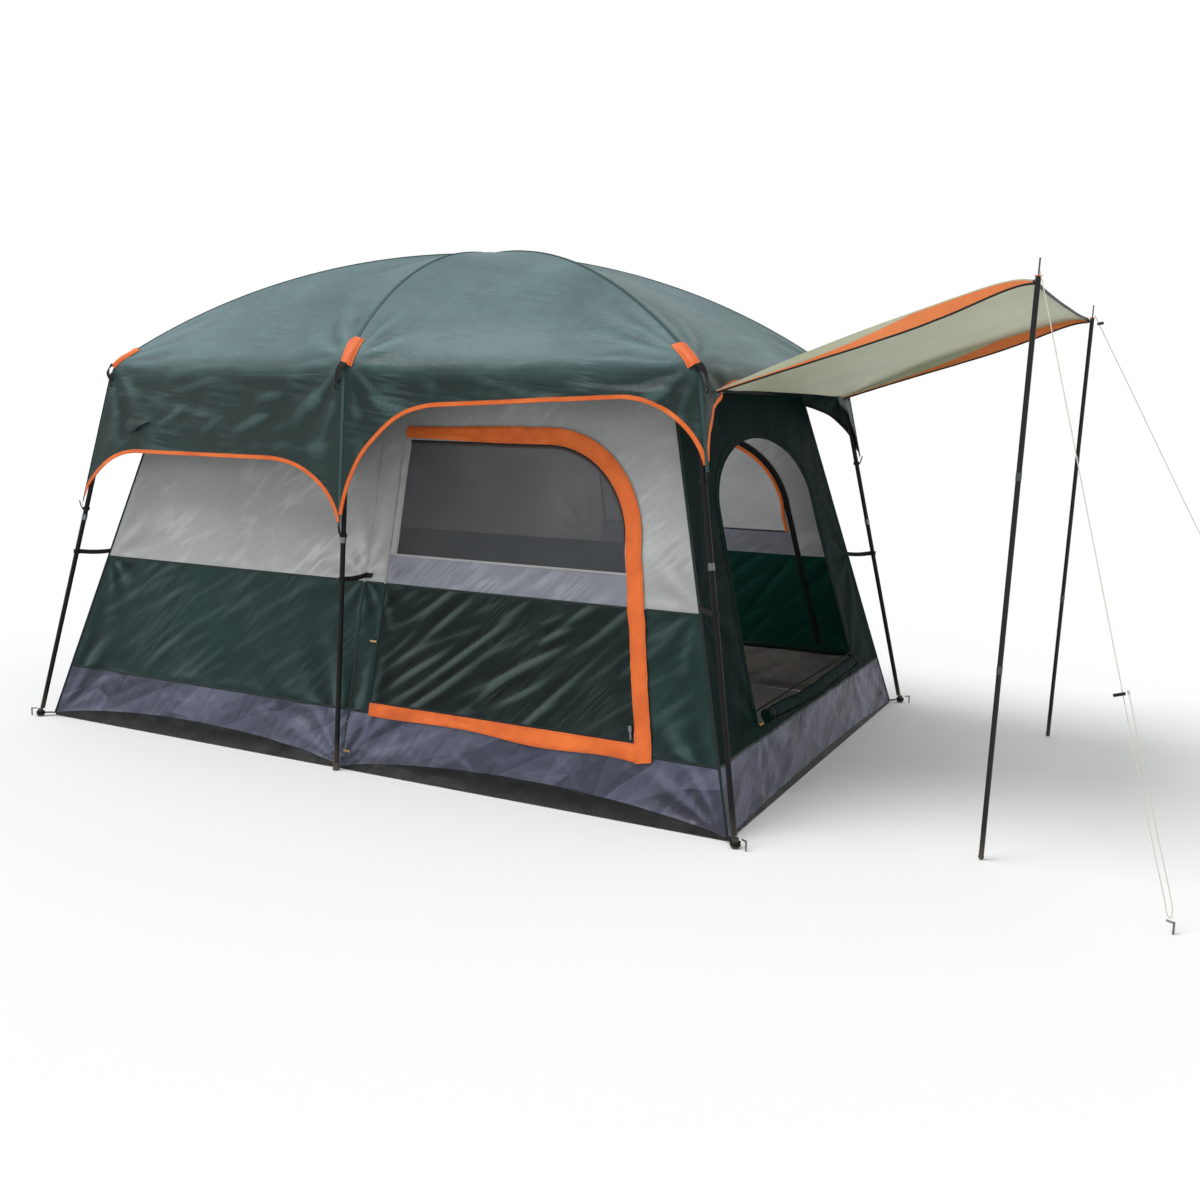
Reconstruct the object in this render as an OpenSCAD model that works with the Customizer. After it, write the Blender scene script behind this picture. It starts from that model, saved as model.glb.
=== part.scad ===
// Six-leg cabin tent with a dome fly, two zipped side doors, an open end doorway
// and an awning held up by two poles and two guylines.
// Origin: centre of the groundsheet on the ground. +X to the awning, +Z up.

/* [Footprint] */
// Distance between the feet along the long side
foot_l = 3200; // [3000:50:3400]
// Distance between the corner feet across the short side
foot_w = 2200; // [2100:20:2300]
// How far the middle feet stand from the centre line
mid_foot_y = 1080; // [1070:5:1090]

/* [Frame] */
// Height of the elbow hubs above the ground
hub_z = 1475; // [1470:5:1480]
// How far a corner leg leans in along the long side
lean_x = 284; // [270:2:290]
// How far a corner leg leans in across the short side
lean_y = 241; // [230:1:245]
// How far a middle leg leans in
mid_lean_y = 110; // [100:5:115]
// Height of the crown where the roof poles cross
crown_z = 1984; // [1970:2:1990]
// Diameter of a steel leg tube
leg_d = 19; // [16:1:20]
// Diameter of a fibreglass roof pole
rod_d = 9.5; // [8:0.5:10]

/* [Cabin] */
// Half length of the cabin on the ground
cabin_x = 1560; // [1550:5:1565]
// Half width of the cabin on the ground
cabin_y = 1060; // [1055:1:1062]
// Inward slope of the end walls, run over rise
slope_x = 0.27; // [0.26:0.005:0.28]
// Inward slope of the side walls, run over rise
slope_y = 0.243; // [0.235:0.001:0.25]
// Height of the wall tops
wall_z = 1420; // [1400:5:1425]
// Height of the grey skirt
skirt_z = 219; // [210:1:219]
// Thickness of a cloth wall
cloth = 3; // [2:0.5:3]

/* [Doors] */
// Hinge line of a side door
door_x = 100; // [95:5:110]
// Bottom edge of a side door
door_z0 = 236; // [234:1:240]
// Top edge of a side door
door_z1 = 1255; // [1240:5:1260]
// Radius of a side door's top corner
door_r = 380; // [300:10:400]
// Width of the orange zip cover
tape_w = 56; // [40:2:60]

/* [Awning] */
// Length of the awning from its root to the pole
awning_l = 1020; // [1000:5:1022]
// Half width at the root
awning_y0 = 760; // [740:5:765]
// Half width at the poles
awning_y1 = 800; // [790:2:800]
// Distance of the awning poles from the centre line
pole_y = 815; // [815:1:820]
// Diameter of an awning pole
pole_d = 16; // [14:1:17]

/* [Hidden] */
$fn = 40;

teal = [0.30, 0.42, 0.41];
green = [0.14, 0.22, 0.20];
grey = [0.68, 0.68, 0.68];
purple = [0.45, 0.45, 0.52];
orange = [0.93, 0.42, 0.12];
black = [0.07, 0.07, 0.08];

// The six legs in order round the tent: foot, then hub.
feet = [
    [-foot_l / 2, -foot_w / 2, 0], [0, -mid_foot_y, 0], [foot_l / 2, -foot_w / 2, 0],
    [foot_l / 2, foot_w / 2, 0], [0, mid_foot_y, 0], [-foot_l / 2, foot_w / 2, 0]
];
hubs = [
    for (p = feet) p.x == 0
        ? [0, p.y - sign(p.y) * mid_lean_y, hub_z]
        : [p.x - sign(p.x) * lean_x, p.y - sign(p.y) * lean_y, hub_z]
];

function at_z(i, z) = feet[i] + (hubs[i] - feet[i]) * (z / hub_z);
function flat(p) = [p.x, p.y, 0];
function outward(p) = flat(p) / norm(flat(p));

// The fly runs outside the legs: its eave, its leg lines and its ridges.
fly_off = 27;
eave_z = 1500;
fly_top = 2000;
function fly_line(i, z) = at_z(i, z) + outward(hubs[i]) * fly_off;
function ridge(i, t) =
    let (e = fly_line(i, eave_z), h = norm(flat(e)), s = fly_top - eave_z,
         r = (h * h + s * s) / (2 * s), a = asin(h / r) * (1 - t))
    outward(e) * (r * sin(a)) + [0, 0, fly_top - r + r * cos(a)];

// Scalloped lower edge of a valance: crown height, then a dip to the tip at each leg.
function dip(q) = 1 - sqrt(1 - pow(min(1, max(0, q)), 2));
function scallop(s, za, zb, tip_a, tip_b, wa, wb) =
    za + (zb - za) * s
    - (za - tip_a) * dip(1 - s / wa)
    - (zb - tip_b) * dip(1 - (1 - s) / wb);

leg_strap_z = 715;
side_tilt = atan(slope_y);
end_tilt = atan(slope_x);
function half_x(z) = cabin_x - slope_x * z;
function half_y(z) = cabin_y - slope_y * z;

awning_root = [1360, 0, 1432];
pole_foot = [2300, 0, 9];
pole_top = [2345, 0, 1748];
pole_tilt = atan((pole_top.x - pole_foot.x) / (pole_top.z - pole_foot.z));
awning_tilt = atan((pole_top.z + 2 - awning_root.z) / (pole_top.x - awning_root.x));

// Route of the front guyline: pole tip, tensioner, round the peg and back up.
front_route = [
    [2350, -826, 1762], [2373, -840, 1680], [2420, -868, 1510], [2470, -898, 1330],
    [2520, -928, 1150], [2570, -958, 970], [2620, -988, 790], [2664, -1014, 632],
    [2700, -1036, 500], [2740, -1060, 360], [2780, -1084, 220], [2818, -1107, 90],
    [2828, -1113, 52], [2836, -1113, 41], [2841, -1108, 52], [2834, -1098, 90],
    [2790, -1070, 240], [2742, -1041, 408], [2699, -1015, 560], [2683, -1005, 616]
];
// Route of the back guyline: pole tip straight down to its peg.
back_route = [
    [2352, 827, 1762], [2387, 856, 1693], [2440, 899, 1589], [2529, 972, 1415],
    [2617, 1044, 1241], [2705, 1116, 1067], [2794, 1189, 893], [2882, 1261, 719],
    [2970, 1333, 546], [3058, 1405, 373], [3147, 1478, 200], [3223, 1540, 50]
];
guy_d = 3;

function unit(a) = a / norm(a);

// A tube swept along a route, for the cords.
module cord_tube(route, d) {
    n = 8;
    k = len(route);
    dirs = [for (i = [0:k - 1]) unit(route[min(i + 1, k - 1)] - route[max(i - 1, 0)])];
    side = unit(cross(dirs[0], [0.6, -0.8, 0]));
    ring = [
        for (i = [0:k - 1])
            let (u = unit(side - dirs[i] * (side * dirs[i])), v = cross(dirs[i], u))
            [for (j = [0:n - 1]) route[i] + (u * cos(j * 360 / n) + v * sin(j * 360 / n)) * d / 2]
    ];
    polyhedron(
        points = [for (r = ring) each r],
        faces = concat(
            [[for (j = [0:n - 1]) j]],
            [for (i = [0:k - 2]) for (j = [0:n - 1])
                [i * n + j, (i + 1) * n + j, (i + 1) * n + (j + 1) % n, i * n + (j + 1) % n]],
            [[for (j = [n - 1:-1:0]) (k - 1) * n + j]]
        ),
        convexity = 6
    );
}

// A thin shell between two grids of points of the same size.
module shell(outer, inner) {
    m = len(outer);
    n = len(outer[0]);
    o = m * n;
    function id(i, j) = i * n + j;
    rim = concat(
        [for (j = [0:n - 1]) id(0, j)], [for (i = [1:m - 1]) id(i, n - 1)],
        [for (j = [n - 2:-1:0]) id(m - 1, j)], [for (i = [m - 2:-1:1]) id(i, 0)]
    );
    polyhedron(
        points = concat([for (r = outer) each r], [for (r = inner) each r]),
        faces = concat(
            [for (i = [0:m - 2]) for (j = [0:n - 2]) for (t = [0, 1])
                t == 0 ? [id(i, j), id(i + 1, j), id(i + 1, j + 1)]
                       : [id(i, j), id(i + 1, j + 1), id(i, j + 1)]],
            [for (i = [0:m - 2]) for (j = [0:n - 2]) for (t = [0, 1])
                t == 0 ? [o + id(i, j), o + id(i + 1, j + 1), o + id(i + 1, j)]
                       : [o + id(i, j), o + id(i, j + 1), o + id(i + 1, j + 1)]],
            [for (k = [0:len(rim) - 1]) for (t = [0, 1])
                let (a = rim[k], b = rim[(k + 1) % len(rim)])
                t == 0 ? [a, b, o + b] : [a, o + b, o + a]]
        ),
        convexity = 4
    );
}

// Puts a shape drawn along +Z on the line from p to q.
module along(p, q) {
    d = q - p;
    translate(p) rotate([0, acos(d.z / norm(d)), atan2(d.y, d.x)]) children();
}

module tube(p, q, d, wall) {
    along(p, q) difference() {
        cylinder(d = d, h = norm(q - p));
        translate([0, 0, -1]) cylinder(d = d - 2 * wall, h = norm(q - p) + 2);
    }
}

module rod(p, q, d) {
    along(p, q) cylinder(d = d, h = norm(q - p));
}

module leg(i) {
    dir = unit(hubs[i] - feet[i]);
    color(black) tube(feet[i] + dir * 36, hubs[i] - dir * 52, leg_d, 1);
}

module leg_ferrules() {
    color("silver") for (i = [0:5]) {
        dir = unit(hubs[i] - feet[i]);
        c = at_z(i, 850);
        along(c, c + dir) difference() {
            cylinder(d = leg_d + 3, h = 24);
            translate([0, 0, -1]) cylinder(d = leg_d + 0.8, h = 26);
        }
    }
}

module foot_caps() {
    color(black) for (p = feet) translate(p) {
        cylinder(d = 26, h = 7);
        cylinder(d = 22, h = 32);
    }
}

// Elbow hub: a ball with one sleeve down the leg and one up the roof pole.
module eave_hubs() {
    color(black) for (i = [0:5]) {
        dir = unit(hubs[i] - feet[i]);
        rise = unit(-outward(hubs[i]) + [0, 0, 0.68]);
        translate(hubs[i]) sphere(d = 27);
        rod(hubs[i] - dir * 50, hubs[i], 23);
        rod(hubs[i], hubs[i] + rise * 34, 16);
    }
}

// A roof pole bends in one arc from hub i over the crown to the opposite hub.
module roof_pole(i, drop) {
    h = norm(flat(hubs[i]));
    s = crown_z - drop - hub_z;
    r = (h * h + s * s) / (2 * s);
    half = asin(h / r) - 45 / r * 57.3;
    color([0.16, 0.17, 0.18])
        translate([0, 0, crown_z - drop - r])
            rotate([0, 0, atan2(hubs[i].y, hubs[i].x)])
                rotate([90, 0, 0])
                    rotate([0, 0, 90 - half])
                        rotate_extrude(angle = 2 * half, $fn = 480) translate([r, 0]) circle(d = rod_d, $fn = 20);
}

// Webbing that ties the three roof poles where they cross.
module crown_tie() {
    color(black) translate([0, 0, crown_z - 22 - rod_d / 2 - 7]) difference() {
        cylinder(d = 62, h = 6);
        translate([0, 0, -1]) cylinder(d = 30, h = 8);
    }
}

// One sewn gore of the fly between the ridges over legs i and i + 1.
module gore(i) {
    n = 8;
    m = 4;
    function p(t, s) = ridge(i, t) * (1 - s) + ridge((i + 1) % 6, t) * s;
    function grid(drop) = [for (a = [0:n]) [for (b = [0:m])
        p(min(a / n, 0.985), 0.004 + 0.992 * b / m) - [0, 0, drop]]];
    color(teal) shell(grid(0), grid(cloth));
}

// The fly's skirt between legs i and i + 1, with a scalloped lower edge.
module valance(i, za, zb, tip_a, tip_b, wa, wb) {
    j = (i + 1) % 6;
    n = 16;
    rows = 3;
    top = eave_z - 6;
    function s_of(k) = 0.004 + 0.992 * (1 - cos(180 * k / n)) / 2;
    function p(s, z) = fly_line(i, z) * (1 - s) + fly_line(j, z) * s;
    nrm = outward(p(0.5, top));
    function row(k, off) = [for (c = [0:n])
        let (s = s_of(c), z0 = scallop(s, za, zb, tip_a, tip_b, wa, wb))
        p(s, top + (z0 - top) * k / rows) + nrm * off];
    color(green) shell([for (k = [0:rows]) row(k, cloth)], [for (k = [0:rows]) row(k, 0)]);
}

// Orange pockets on the fly where each roof pole meets its hub.
module fly_pole_tabs() {
    color(orange) for (i = [0:5]) {
        e = fly_line(i, eave_z);
        a = atan2(e.y, e.x);
        translate(e + outward(e) * 5 + [0, 0, -50]) rotate([0, 0, a]) rotate([0, -8, 0])
            translate([9, -22, 0]) cube([2.5, 44, 46]);
    }
}

module inner_ceiling() {
    n = 8;
    hx = half_x(wall_z) - 6;
    hy = half_y(wall_z) - 6;
    function q(a, b, d) = let (u = 2 * a / n - 1, v = 2 * b / n - 1)
        [hx * u, hy * v, wall_z - 2 + 400 * cos(90 * u) * cos(90 * v) - d];
    color(grey)
        shell([for (a = [0:n]) [for (b = [n:-1:0]) q(a, b, 0)]],
              [for (a = [0:n]) [for (b = [n:-1:0]) q(a, b, cloth)]]);
}

// Frames for the leaning walls: children are drawn in [x, slant height], thickness outward.
module side_frame(back = false) {
    mirror([0, back ? 1 : 0, 0])
        translate([0, -cabin_y, 0]) rotate([90 - side_tilt, 0, 0]) children();
}

module end_frame(left = false) {
    mirror([left ? 1 : 0, 0, 0])
        translate([cabin_x, 0, 0]) rotate([0, 0, 90]) rotate([90 - end_tilt, 0, 0]) children();
}

function on_side(pts) = [for (p = pts) [p.x, p.y / cos(side_tilt)]];
function on_end(pts) = [for (p = pts) [p.x, p.y / cos(end_tilt)]];

// Slanted edge of a side door at height z, and its outline grown by g.
function door_edge(z) = door_x + 1006 + (door_z1 - door_r - z) * 0.197;
function door_outline(g) = concat(
    [[door_x - g, door_z0 - g], [door_edge(door_z0) + g, door_z0 - g]],
    [for (a = [0:10:90])
        [door_x + 1006 - door_r + (door_r + g) * cos(a), door_z1 - door_r + (door_r + g) * sin(a)]],
    [[door_x - g, door_z1 + g]]
);

module side_half_wall(right) {
    e = right ? 1 : -1;
    color(grey) linear_extrude(cloth) difference() {
        polygon(on_side([
            [e, skirt_z + 1], [e * (half_x(skirt_z) - 2), skirt_z + 1],
            [e * (half_x(wall_z) - 2), wall_z], [e, wall_z]
        ]));
        if (right) polygon(on_side(door_outline(2)));
    }
}

// Mesh window in the upper part of a side door, shrunk by g.
window_z = 800;
function window_outline(g) = concat(
    [[door_x + 28 + g, window_z + g], [door_edge(window_z) - 34 - g, window_z + g]],
    [for (a = [0:10:90])
        [door_x + 1006 - door_r + (door_r - 34 - g) * cos(a),
         door_z1 - door_r + (door_r - 34 - g) * sin(a)]],
    [[door_x + 28 + g, door_z1 - 34 - g]]
);

module door_panel() {
    color(green) linear_extrude(cloth) difference() {
        intersection() {
            polygon(on_side(door_outline(0)));
            translate([door_x + 4, 0]) square([2000, 2000]);
        }
        polygon(on_side(window_outline(0)));
    }
}

module door_window() {
    color([0.35, 0.35, 0.37]) translate([0, 0, 1]) linear_extrude(1)
        polygon(on_side(window_outline(1)));
}

module zip_tape() {
    color(orange) translate([0, 0, cloth + 0.7]) linear_extrude(2) difference() {
        intersection() {
            polygon(on_side(door_outline(tape_w / 2)));
            translate([door_x + 6, 0]) square([2000, 2000]);
        }
        polygon(on_side(door_outline(-tape_w / 2)));
    }
}

// Slider body with its pull, just inside the zip cover near the bottom corner.
module zip_slider() {
    z = 290;
    color("silver") translate([door_edge(z) - tape_w / 2 - 16, z / cos(side_tilt), cloth + 0.6])
        rotate([0, 0, atan(0.197 * cos(side_tilt))]) {
            translate([-6, 0, 0]) cube([12, 20, 5]);
            translate([-3, -26, 0.5]) cube([6, 26, 2]);
        }
}

module end_wall(open) {
    color(green) linear_extrude(cloth) difference() {
        polygon(on_end([
            [-half_y(skirt_z) + 2, skirt_z + 1], [half_y(skirt_z) - 2, skirt_z + 1],
            [half_y(wall_z) - 2, wall_z], [-half_y(wall_z) + 2, wall_z]
        ]));
        if (open) polygon(on_end(concat(
            [[-610, 262], [610, 262]],
            [for (a = [0:10:180]) [530 * cos(a), 990 + 265 * sin(a)]]
        )));
    }
}

module side_skirt() {
    color(purple) linear_extrude(cloth) polygon(on_side([
        [-half_x(4) + 2, 4], [half_x(4) - 2, 4],
        [half_x(skirt_z) - 2, skirt_z], [-half_x(skirt_z) + 2, skirt_z]
    ]));
}

module end_skirt() {
    color(purple) linear_extrude(cloth) polygon(on_end([
        [-half_y(4) + 2, 4], [half_y(4) - 2, 4],
        [half_y(skirt_z) - 2, skirt_z], [-half_y(skirt_z) + 2, skirt_z]
    ]));
}

module groundsheet() {
    color(black) translate([-cabin_x + 2, -cabin_y + 2, 0])
        cube([2 * cabin_x - 4, 2 * cabin_y - 4, cloth]);
}

module rolled_end_door() {
    color(green) end_frame() translate([0, 296 / cos(end_tilt), 32])
        rotate([0, 90, 0]) translate([0, 0, -570]) cylinder(d = 46, h = 1140);
}

module toggle(l) {
    rotate([0, 90, 0]) translate([0, 0, -l / 2]) cylinder(d = 8, h = l);
}

module toggles() {
    color([0.78, 0.66, 0.42]) {
        end_frame() for (s = [-1, 1]) translate([s * 596, 262 / cos(end_tilt), 10]) toggle(24);
        for (b = [false, true]) side_frame(b) translate([84, 490, 10]) toggle(24);
        for (b = [false, true]) side_frame(b) translate([30, 70, 8]) toggle(24);
    }
}

// Straps from the legs to the seam between the light and dark wall cloth.
module wall_straps() {
    color(black) for (i = [0:5]) {
        p = at_z(i, leg_strap_z);
        w = [sign(p.x) * half_x(leg_strap_z), sign(p.y) * half_y(leg_strap_z), leg_strap_z];
        a = atan2(w.y - p.y, w.x - p.x);
        gap = norm(flat(w) - flat(p));
        translate(p) rotate([0, 0, a]) {
            translate([13, -1, -9]) cube([gap - 13 - 8, 2, 18]);
            difference() {
                translate([0, 0, -9]) cylinder(d = 29, h = 18);
                translate([0, 0, -10]) cylinder(d = leg_d + 6, h = 20);
            }
        }
    }
}

// Webbing loops from the groundsheet's edge to the feet.
module corner_loops() {
    color(black) for (i = [0, 2, 3, 5]) {
        p = feet[i];
        w = [sign(p.x) * half_x(20), sign(p.y) * half_y(20), 20];
        a = atan2(w.y - p.y, w.x - p.x);
        gap = norm(flat(w) - flat(p));
        translate([p.x, p.y, 12]) rotate([0, 0, a]) translate([13, -10, 0]) cube([gap - 18, 20, 2]);
    }
}

// Head of a wire peg standing out of the ground, its hook facing along angle a.
module peg_head(p, a) {
    translate(p) rotate([0, 0, a]) {
        cylinder(d = 6, h = 34);
        translate([0, 0, 31]) rotate([0, 90, 0]) cylinder(d = 6, h = 22);
    }
}

module corner_pegs() {
    color("silver") for (i = [0, 2, 3, 5]) {
        o = outward(feet[i]);
        peg_head(feet[i] + [sign(feet[i].x) * 40, sign(feet[i].y) * 12, 0], atan2(-o.y, -o.x));
    }
}

module guyline_pegs() {
    color("silver") {
        peg_head([2848, -1121, 0], 150);
        peg_head([3243, 1557, 0], 220);
    }
}

module guyline(route) {
    color([0.92, 0.9, 0.86]) cord_tube(route, guy_d);
}

// A flat bar with two holes; the cord runs up through the first along dir.
module tensioner(p, dir, turn) {
    color(black) along(p, p + dir) rotate([0, 0, turn]) translate([10.6, 0, 0]) difference() {
        translate([-16, -5, 0]) cube([32, 10, 9]);
        for (x = [-10.6, 10.6]) translate([x, 0, -1]) cylinder(d = 6.4, h = 11);
    }
}

module front_tensioner() {
    tensioner([2670.5, -1018, 608], [-36, 22, 132], 70);
}

module back_tensioner() {
    tensioner([2370.8, 842.8, 1724.8], [-53, -43, 104], 90);
}

// The awning's cloth: a crest along each side, a hem that hangs from it and a slack middle.
module awning_sheet() {
    n = 14;
    m = 12;
    l = awning_l - 4;
    function bow(t) = max(0, sin(180 * t));
    function edge(t) = awning_y0 + (awning_y1 - awning_y0) * t - 88 * t * (1 - t);
    function crest(t) = 31 * sin(90 * min(1, t / 0.6)) * (1 - pow(t, 20));
    function drop(t) = 9 + 38 * pow(max(0, sin(180 * pow(t, 1.35))), 0.8);
    function top(t, u, d) = [4 + (l - 15 * (1 - u * u)) * t, (edge(t) - d) * u,
        crest(t) - 30 * bow(t) * pow(cos(90 * u), 2) - d];
    function hem(t, side, k, d) = [4 + l * t, side * (edge(t) - d), crest(t) - drop(t) * k / 3];
    function row(t, d) = concat(
        [for (k = [3:-1:1]) hem(t, 1, k, d)],
        [for (b = [m:-1:-m]) top(t, b / m, d)],
        [for (k = [1:3]) hem(t, -1, k, d)]);
    color([0.62, 0.64, 0.58]) translate(awning_root) rotate([0, -awning_tilt, 0])
        shell([for (a = [0:n]) row(a / n, 0)], [for (a = [0:n]) row(a / n, 2.4)]);
}

// Awning pole: ball foot, three sections with ferrules, a spike and the corner ring on it.
module awning_pole(y) {
    l = norm(pole_top - pole_foot);
    translate([pole_foot.x, y, pole_foot.z]) rotate([0, pole_tilt, 0]) {
        color(black) {
            sphere(d = 18);
            difference() {
                cylinder(d = pole_d, h = l);
                translate([0, 0, 20]) cylinder(d = pole_d - 2, h = l - 24);
            }
        }
        color("silver") {
            for (k = [1, 2]) translate([0, 0, l * k / 3]) cylinder(d = pole_d + 1.6, h = 22);
            translate([0, 0, l - 2]) cylinder(d = 5, h = 54);
        }
        color(orange) translate([0, 0, l + 1]) difference() {
            cylinder(d = 22, h = 2.4);
            translate([0, 0, -1]) cylinder(d = 6, h = 5);
        }
    }
}

leg(0);  // leg_front_left
leg(1);  // leg_front_middle
leg(2);  // leg_front_right
leg(3);  // leg_back_right
leg(4);  // leg_back_middle
leg(5);  // leg_back_left
leg_ferrules();
foot_caps();
eave_hubs();
roof_pole(3, 0);  // roof_pole_rising
mirror([0, 1, 0]) roof_pole(3, 11);  // roof_pole_falling
roof_pole(4, 22);  // roof_pole_cross
crown_tie();
gore(0);  // gore_front_left
gore(1);  // gore_front_right
gore(2);  // gore_right_end
gore(3);  // gore_back_right
gore(4);  // gore_back_left
gore(5);  // gore_left_end
valance(0, 1150, 1150, 910, 890, 0.2, 0.27);  // valance_front_left
valance(1, 1340, 1410, 890, 1140, 0.28, 0.22);  // valance_front_right
valance(2, 1455, 1455, 1140, 1140, 0.2, 0.2);  // valance_right_end
valance(3, 1410, 1340, 1140, 890, 0.22, 0.28);  // valance_back_right
valance(4, 1150, 1150, 890, 910, 0.27, 0.2);  // valance_back_left
valance(5, 1455, 1455, 910, 910, 0.2, 0.2);  // valance_left_end
fly_pole_tabs();
inner_ceiling();
side_frame() side_half_wall(false);  // front_left_wall
side_frame() side_half_wall(true);  // front_right_wall
side_frame(true) side_half_wall(false);  // back_left_wall
side_frame(true) side_half_wall(true);  // back_right_wall
end_frame(true) end_wall(false);  // left_end_wall
end_frame() end_wall(true);  // right_end_wall
groundsheet();
side_frame() side_skirt();  // skirt_front
side_frame(true) side_skirt();  // skirt_back
end_frame(true) end_skirt();  // skirt_left
end_frame() end_skirt();  // skirt_right
side_frame() door_panel();  // front_door_panel
side_frame() door_window();  // front_door_window
side_frame() zip_tape();  // front_zip_tape
side_frame() zip_slider();  // front_zip_slider
side_frame(true) door_panel();  // back_door_panel
side_frame(true) door_window();  // back_door_window
side_frame(true) zip_tape();  // back_zip_tape
side_frame(true) zip_slider();  // back_zip_slider
rolled_end_door();
toggles();
wall_straps();
corner_loops();
corner_pegs();
guyline_pegs();
guyline(front_route);  // front_guyline
guyline(back_route);  // back_guyline
front_tensioner();
back_tensioner();
awning_sheet();
awning_pole(-pole_y);  // front_awning_pole
awning_pole(pole_y);  // back_awning_pole
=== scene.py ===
import math

import bpy
import numpy as np
from mathutils import Matrix, Vector, noise
from mathutils.geometry import delaunay_2d_cdt


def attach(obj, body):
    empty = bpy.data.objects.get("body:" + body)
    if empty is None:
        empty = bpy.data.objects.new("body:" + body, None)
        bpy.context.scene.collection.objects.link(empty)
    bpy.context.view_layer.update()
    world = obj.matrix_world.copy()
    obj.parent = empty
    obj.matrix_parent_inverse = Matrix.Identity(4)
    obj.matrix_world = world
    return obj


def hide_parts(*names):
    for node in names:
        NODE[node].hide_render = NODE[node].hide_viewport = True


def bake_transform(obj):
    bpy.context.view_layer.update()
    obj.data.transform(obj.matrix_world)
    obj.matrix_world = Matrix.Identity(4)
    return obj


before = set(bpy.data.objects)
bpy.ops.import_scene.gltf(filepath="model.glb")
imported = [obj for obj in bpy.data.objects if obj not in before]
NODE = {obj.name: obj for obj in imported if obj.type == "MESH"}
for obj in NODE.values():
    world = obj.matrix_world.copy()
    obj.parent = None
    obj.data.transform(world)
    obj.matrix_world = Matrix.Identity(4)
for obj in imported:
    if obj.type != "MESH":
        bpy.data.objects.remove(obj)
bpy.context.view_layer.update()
MM = 0.001
TAU = 2 * math.pi
SEWN = 0.9 * MM

# ------------------------------------------------------------------ camera
CAM_AT, YAW, PITCH, ROLL = (2.841, -4.51, 1.359), -0.470, -0.159, 0.017
cam = bpy.data.objects.new("camera", bpy.data.cameras.new("camera"))
bpy.context.scene.collection.objects.link(cam)
bpy.context.scene.camera = cam
cam.data.lens, cam.data.sensor_width = 36.0, 36.0
cam.data.clip_end = 100
fwd = Vector((math.sin(YAW) * math.cos(PITCH), math.cos(YAW) * math.cos(PITCH), math.sin(PITCH)))
right = Vector((math.cos(YAW), -math.sin(YAW), 0))
up = right.cross(fwd)
cam_x = right * math.cos(ROLL) + up * math.sin(ROLL)
cam_y = up * math.cos(ROLL) - right * math.sin(ROLL)
turned = Matrix((cam_x, cam_y, -fwd)).transposed().to_4x4()
cam.matrix_world = Matrix.Translation(CAM_AT) @ turned


# ------------------------------------------------------------------ mesh helpers
def normals_of(v, f):
    """Unit vertex normals of a mesh of triangles or quads."""
    n = np.zeros_like(v)
    for face in ([q for q in f if len(q) == 3], [q for q in f if len(q) == 4]):
        if not face:
            continue
        q = np.array(face)
        i, j, k, l = (1, 0, 2, 0) if q.shape[1] == 3 else (2, 0, 3, 1)
        c = np.cross(v[q[:, i]] - v[q[:, j]], v[q[:, k]] - v[q[:, l]])
        for k in range(q.shape[1]):
            np.add.at(n, q[:, k], c)
    return n / np.maximum(np.linalg.norm(n, axis=1), 1e-12)[:, None]


def grid(rows, n, wrap=False, down=False):
    """Faces of a net of points, n to a row: wrap joins its last column to its first, down turns it over."""
    f = [
        (r * n + c, r * n + (c + 1) % n, (r + 1) * n + (c + 1) % n, (r + 1) * n + c) for r in range(rows)
        for c in range(n if wrap else n - 1)
    ]
    return [q[::-1] for q in f] if down else f


def thick_sheet(v, f, t):
    """Gives a surface two sides and a rim."""
    n = normals_of(v, f)
    k = len(v)
    edges = dict.fromkeys((a, b) for q in f for a, b in zip(q, list(q[1:]) + [q[0]]))
    faces = [tuple(q) for q in f] + [tuple(k + i for i in reversed(q)) for q in f]
    faces += [(b, a, k + a, k + b) for a, b in edges if (b, a) not in edges]
    return np.vstack([v + n * t / 2, v - n * t / 2]), faces


CLOTH_T = 1.2 * MM
# height of a fold that takes the full painted highlight on its crest, and the full painted shade in its hollow, in the
# cloth
WALL_FOLD, FLY_FOLD, AWNING_FOLD = 0.0022, 0.0035, 0.004
KEYS = ("along", "across", "fold", "tone")


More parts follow.
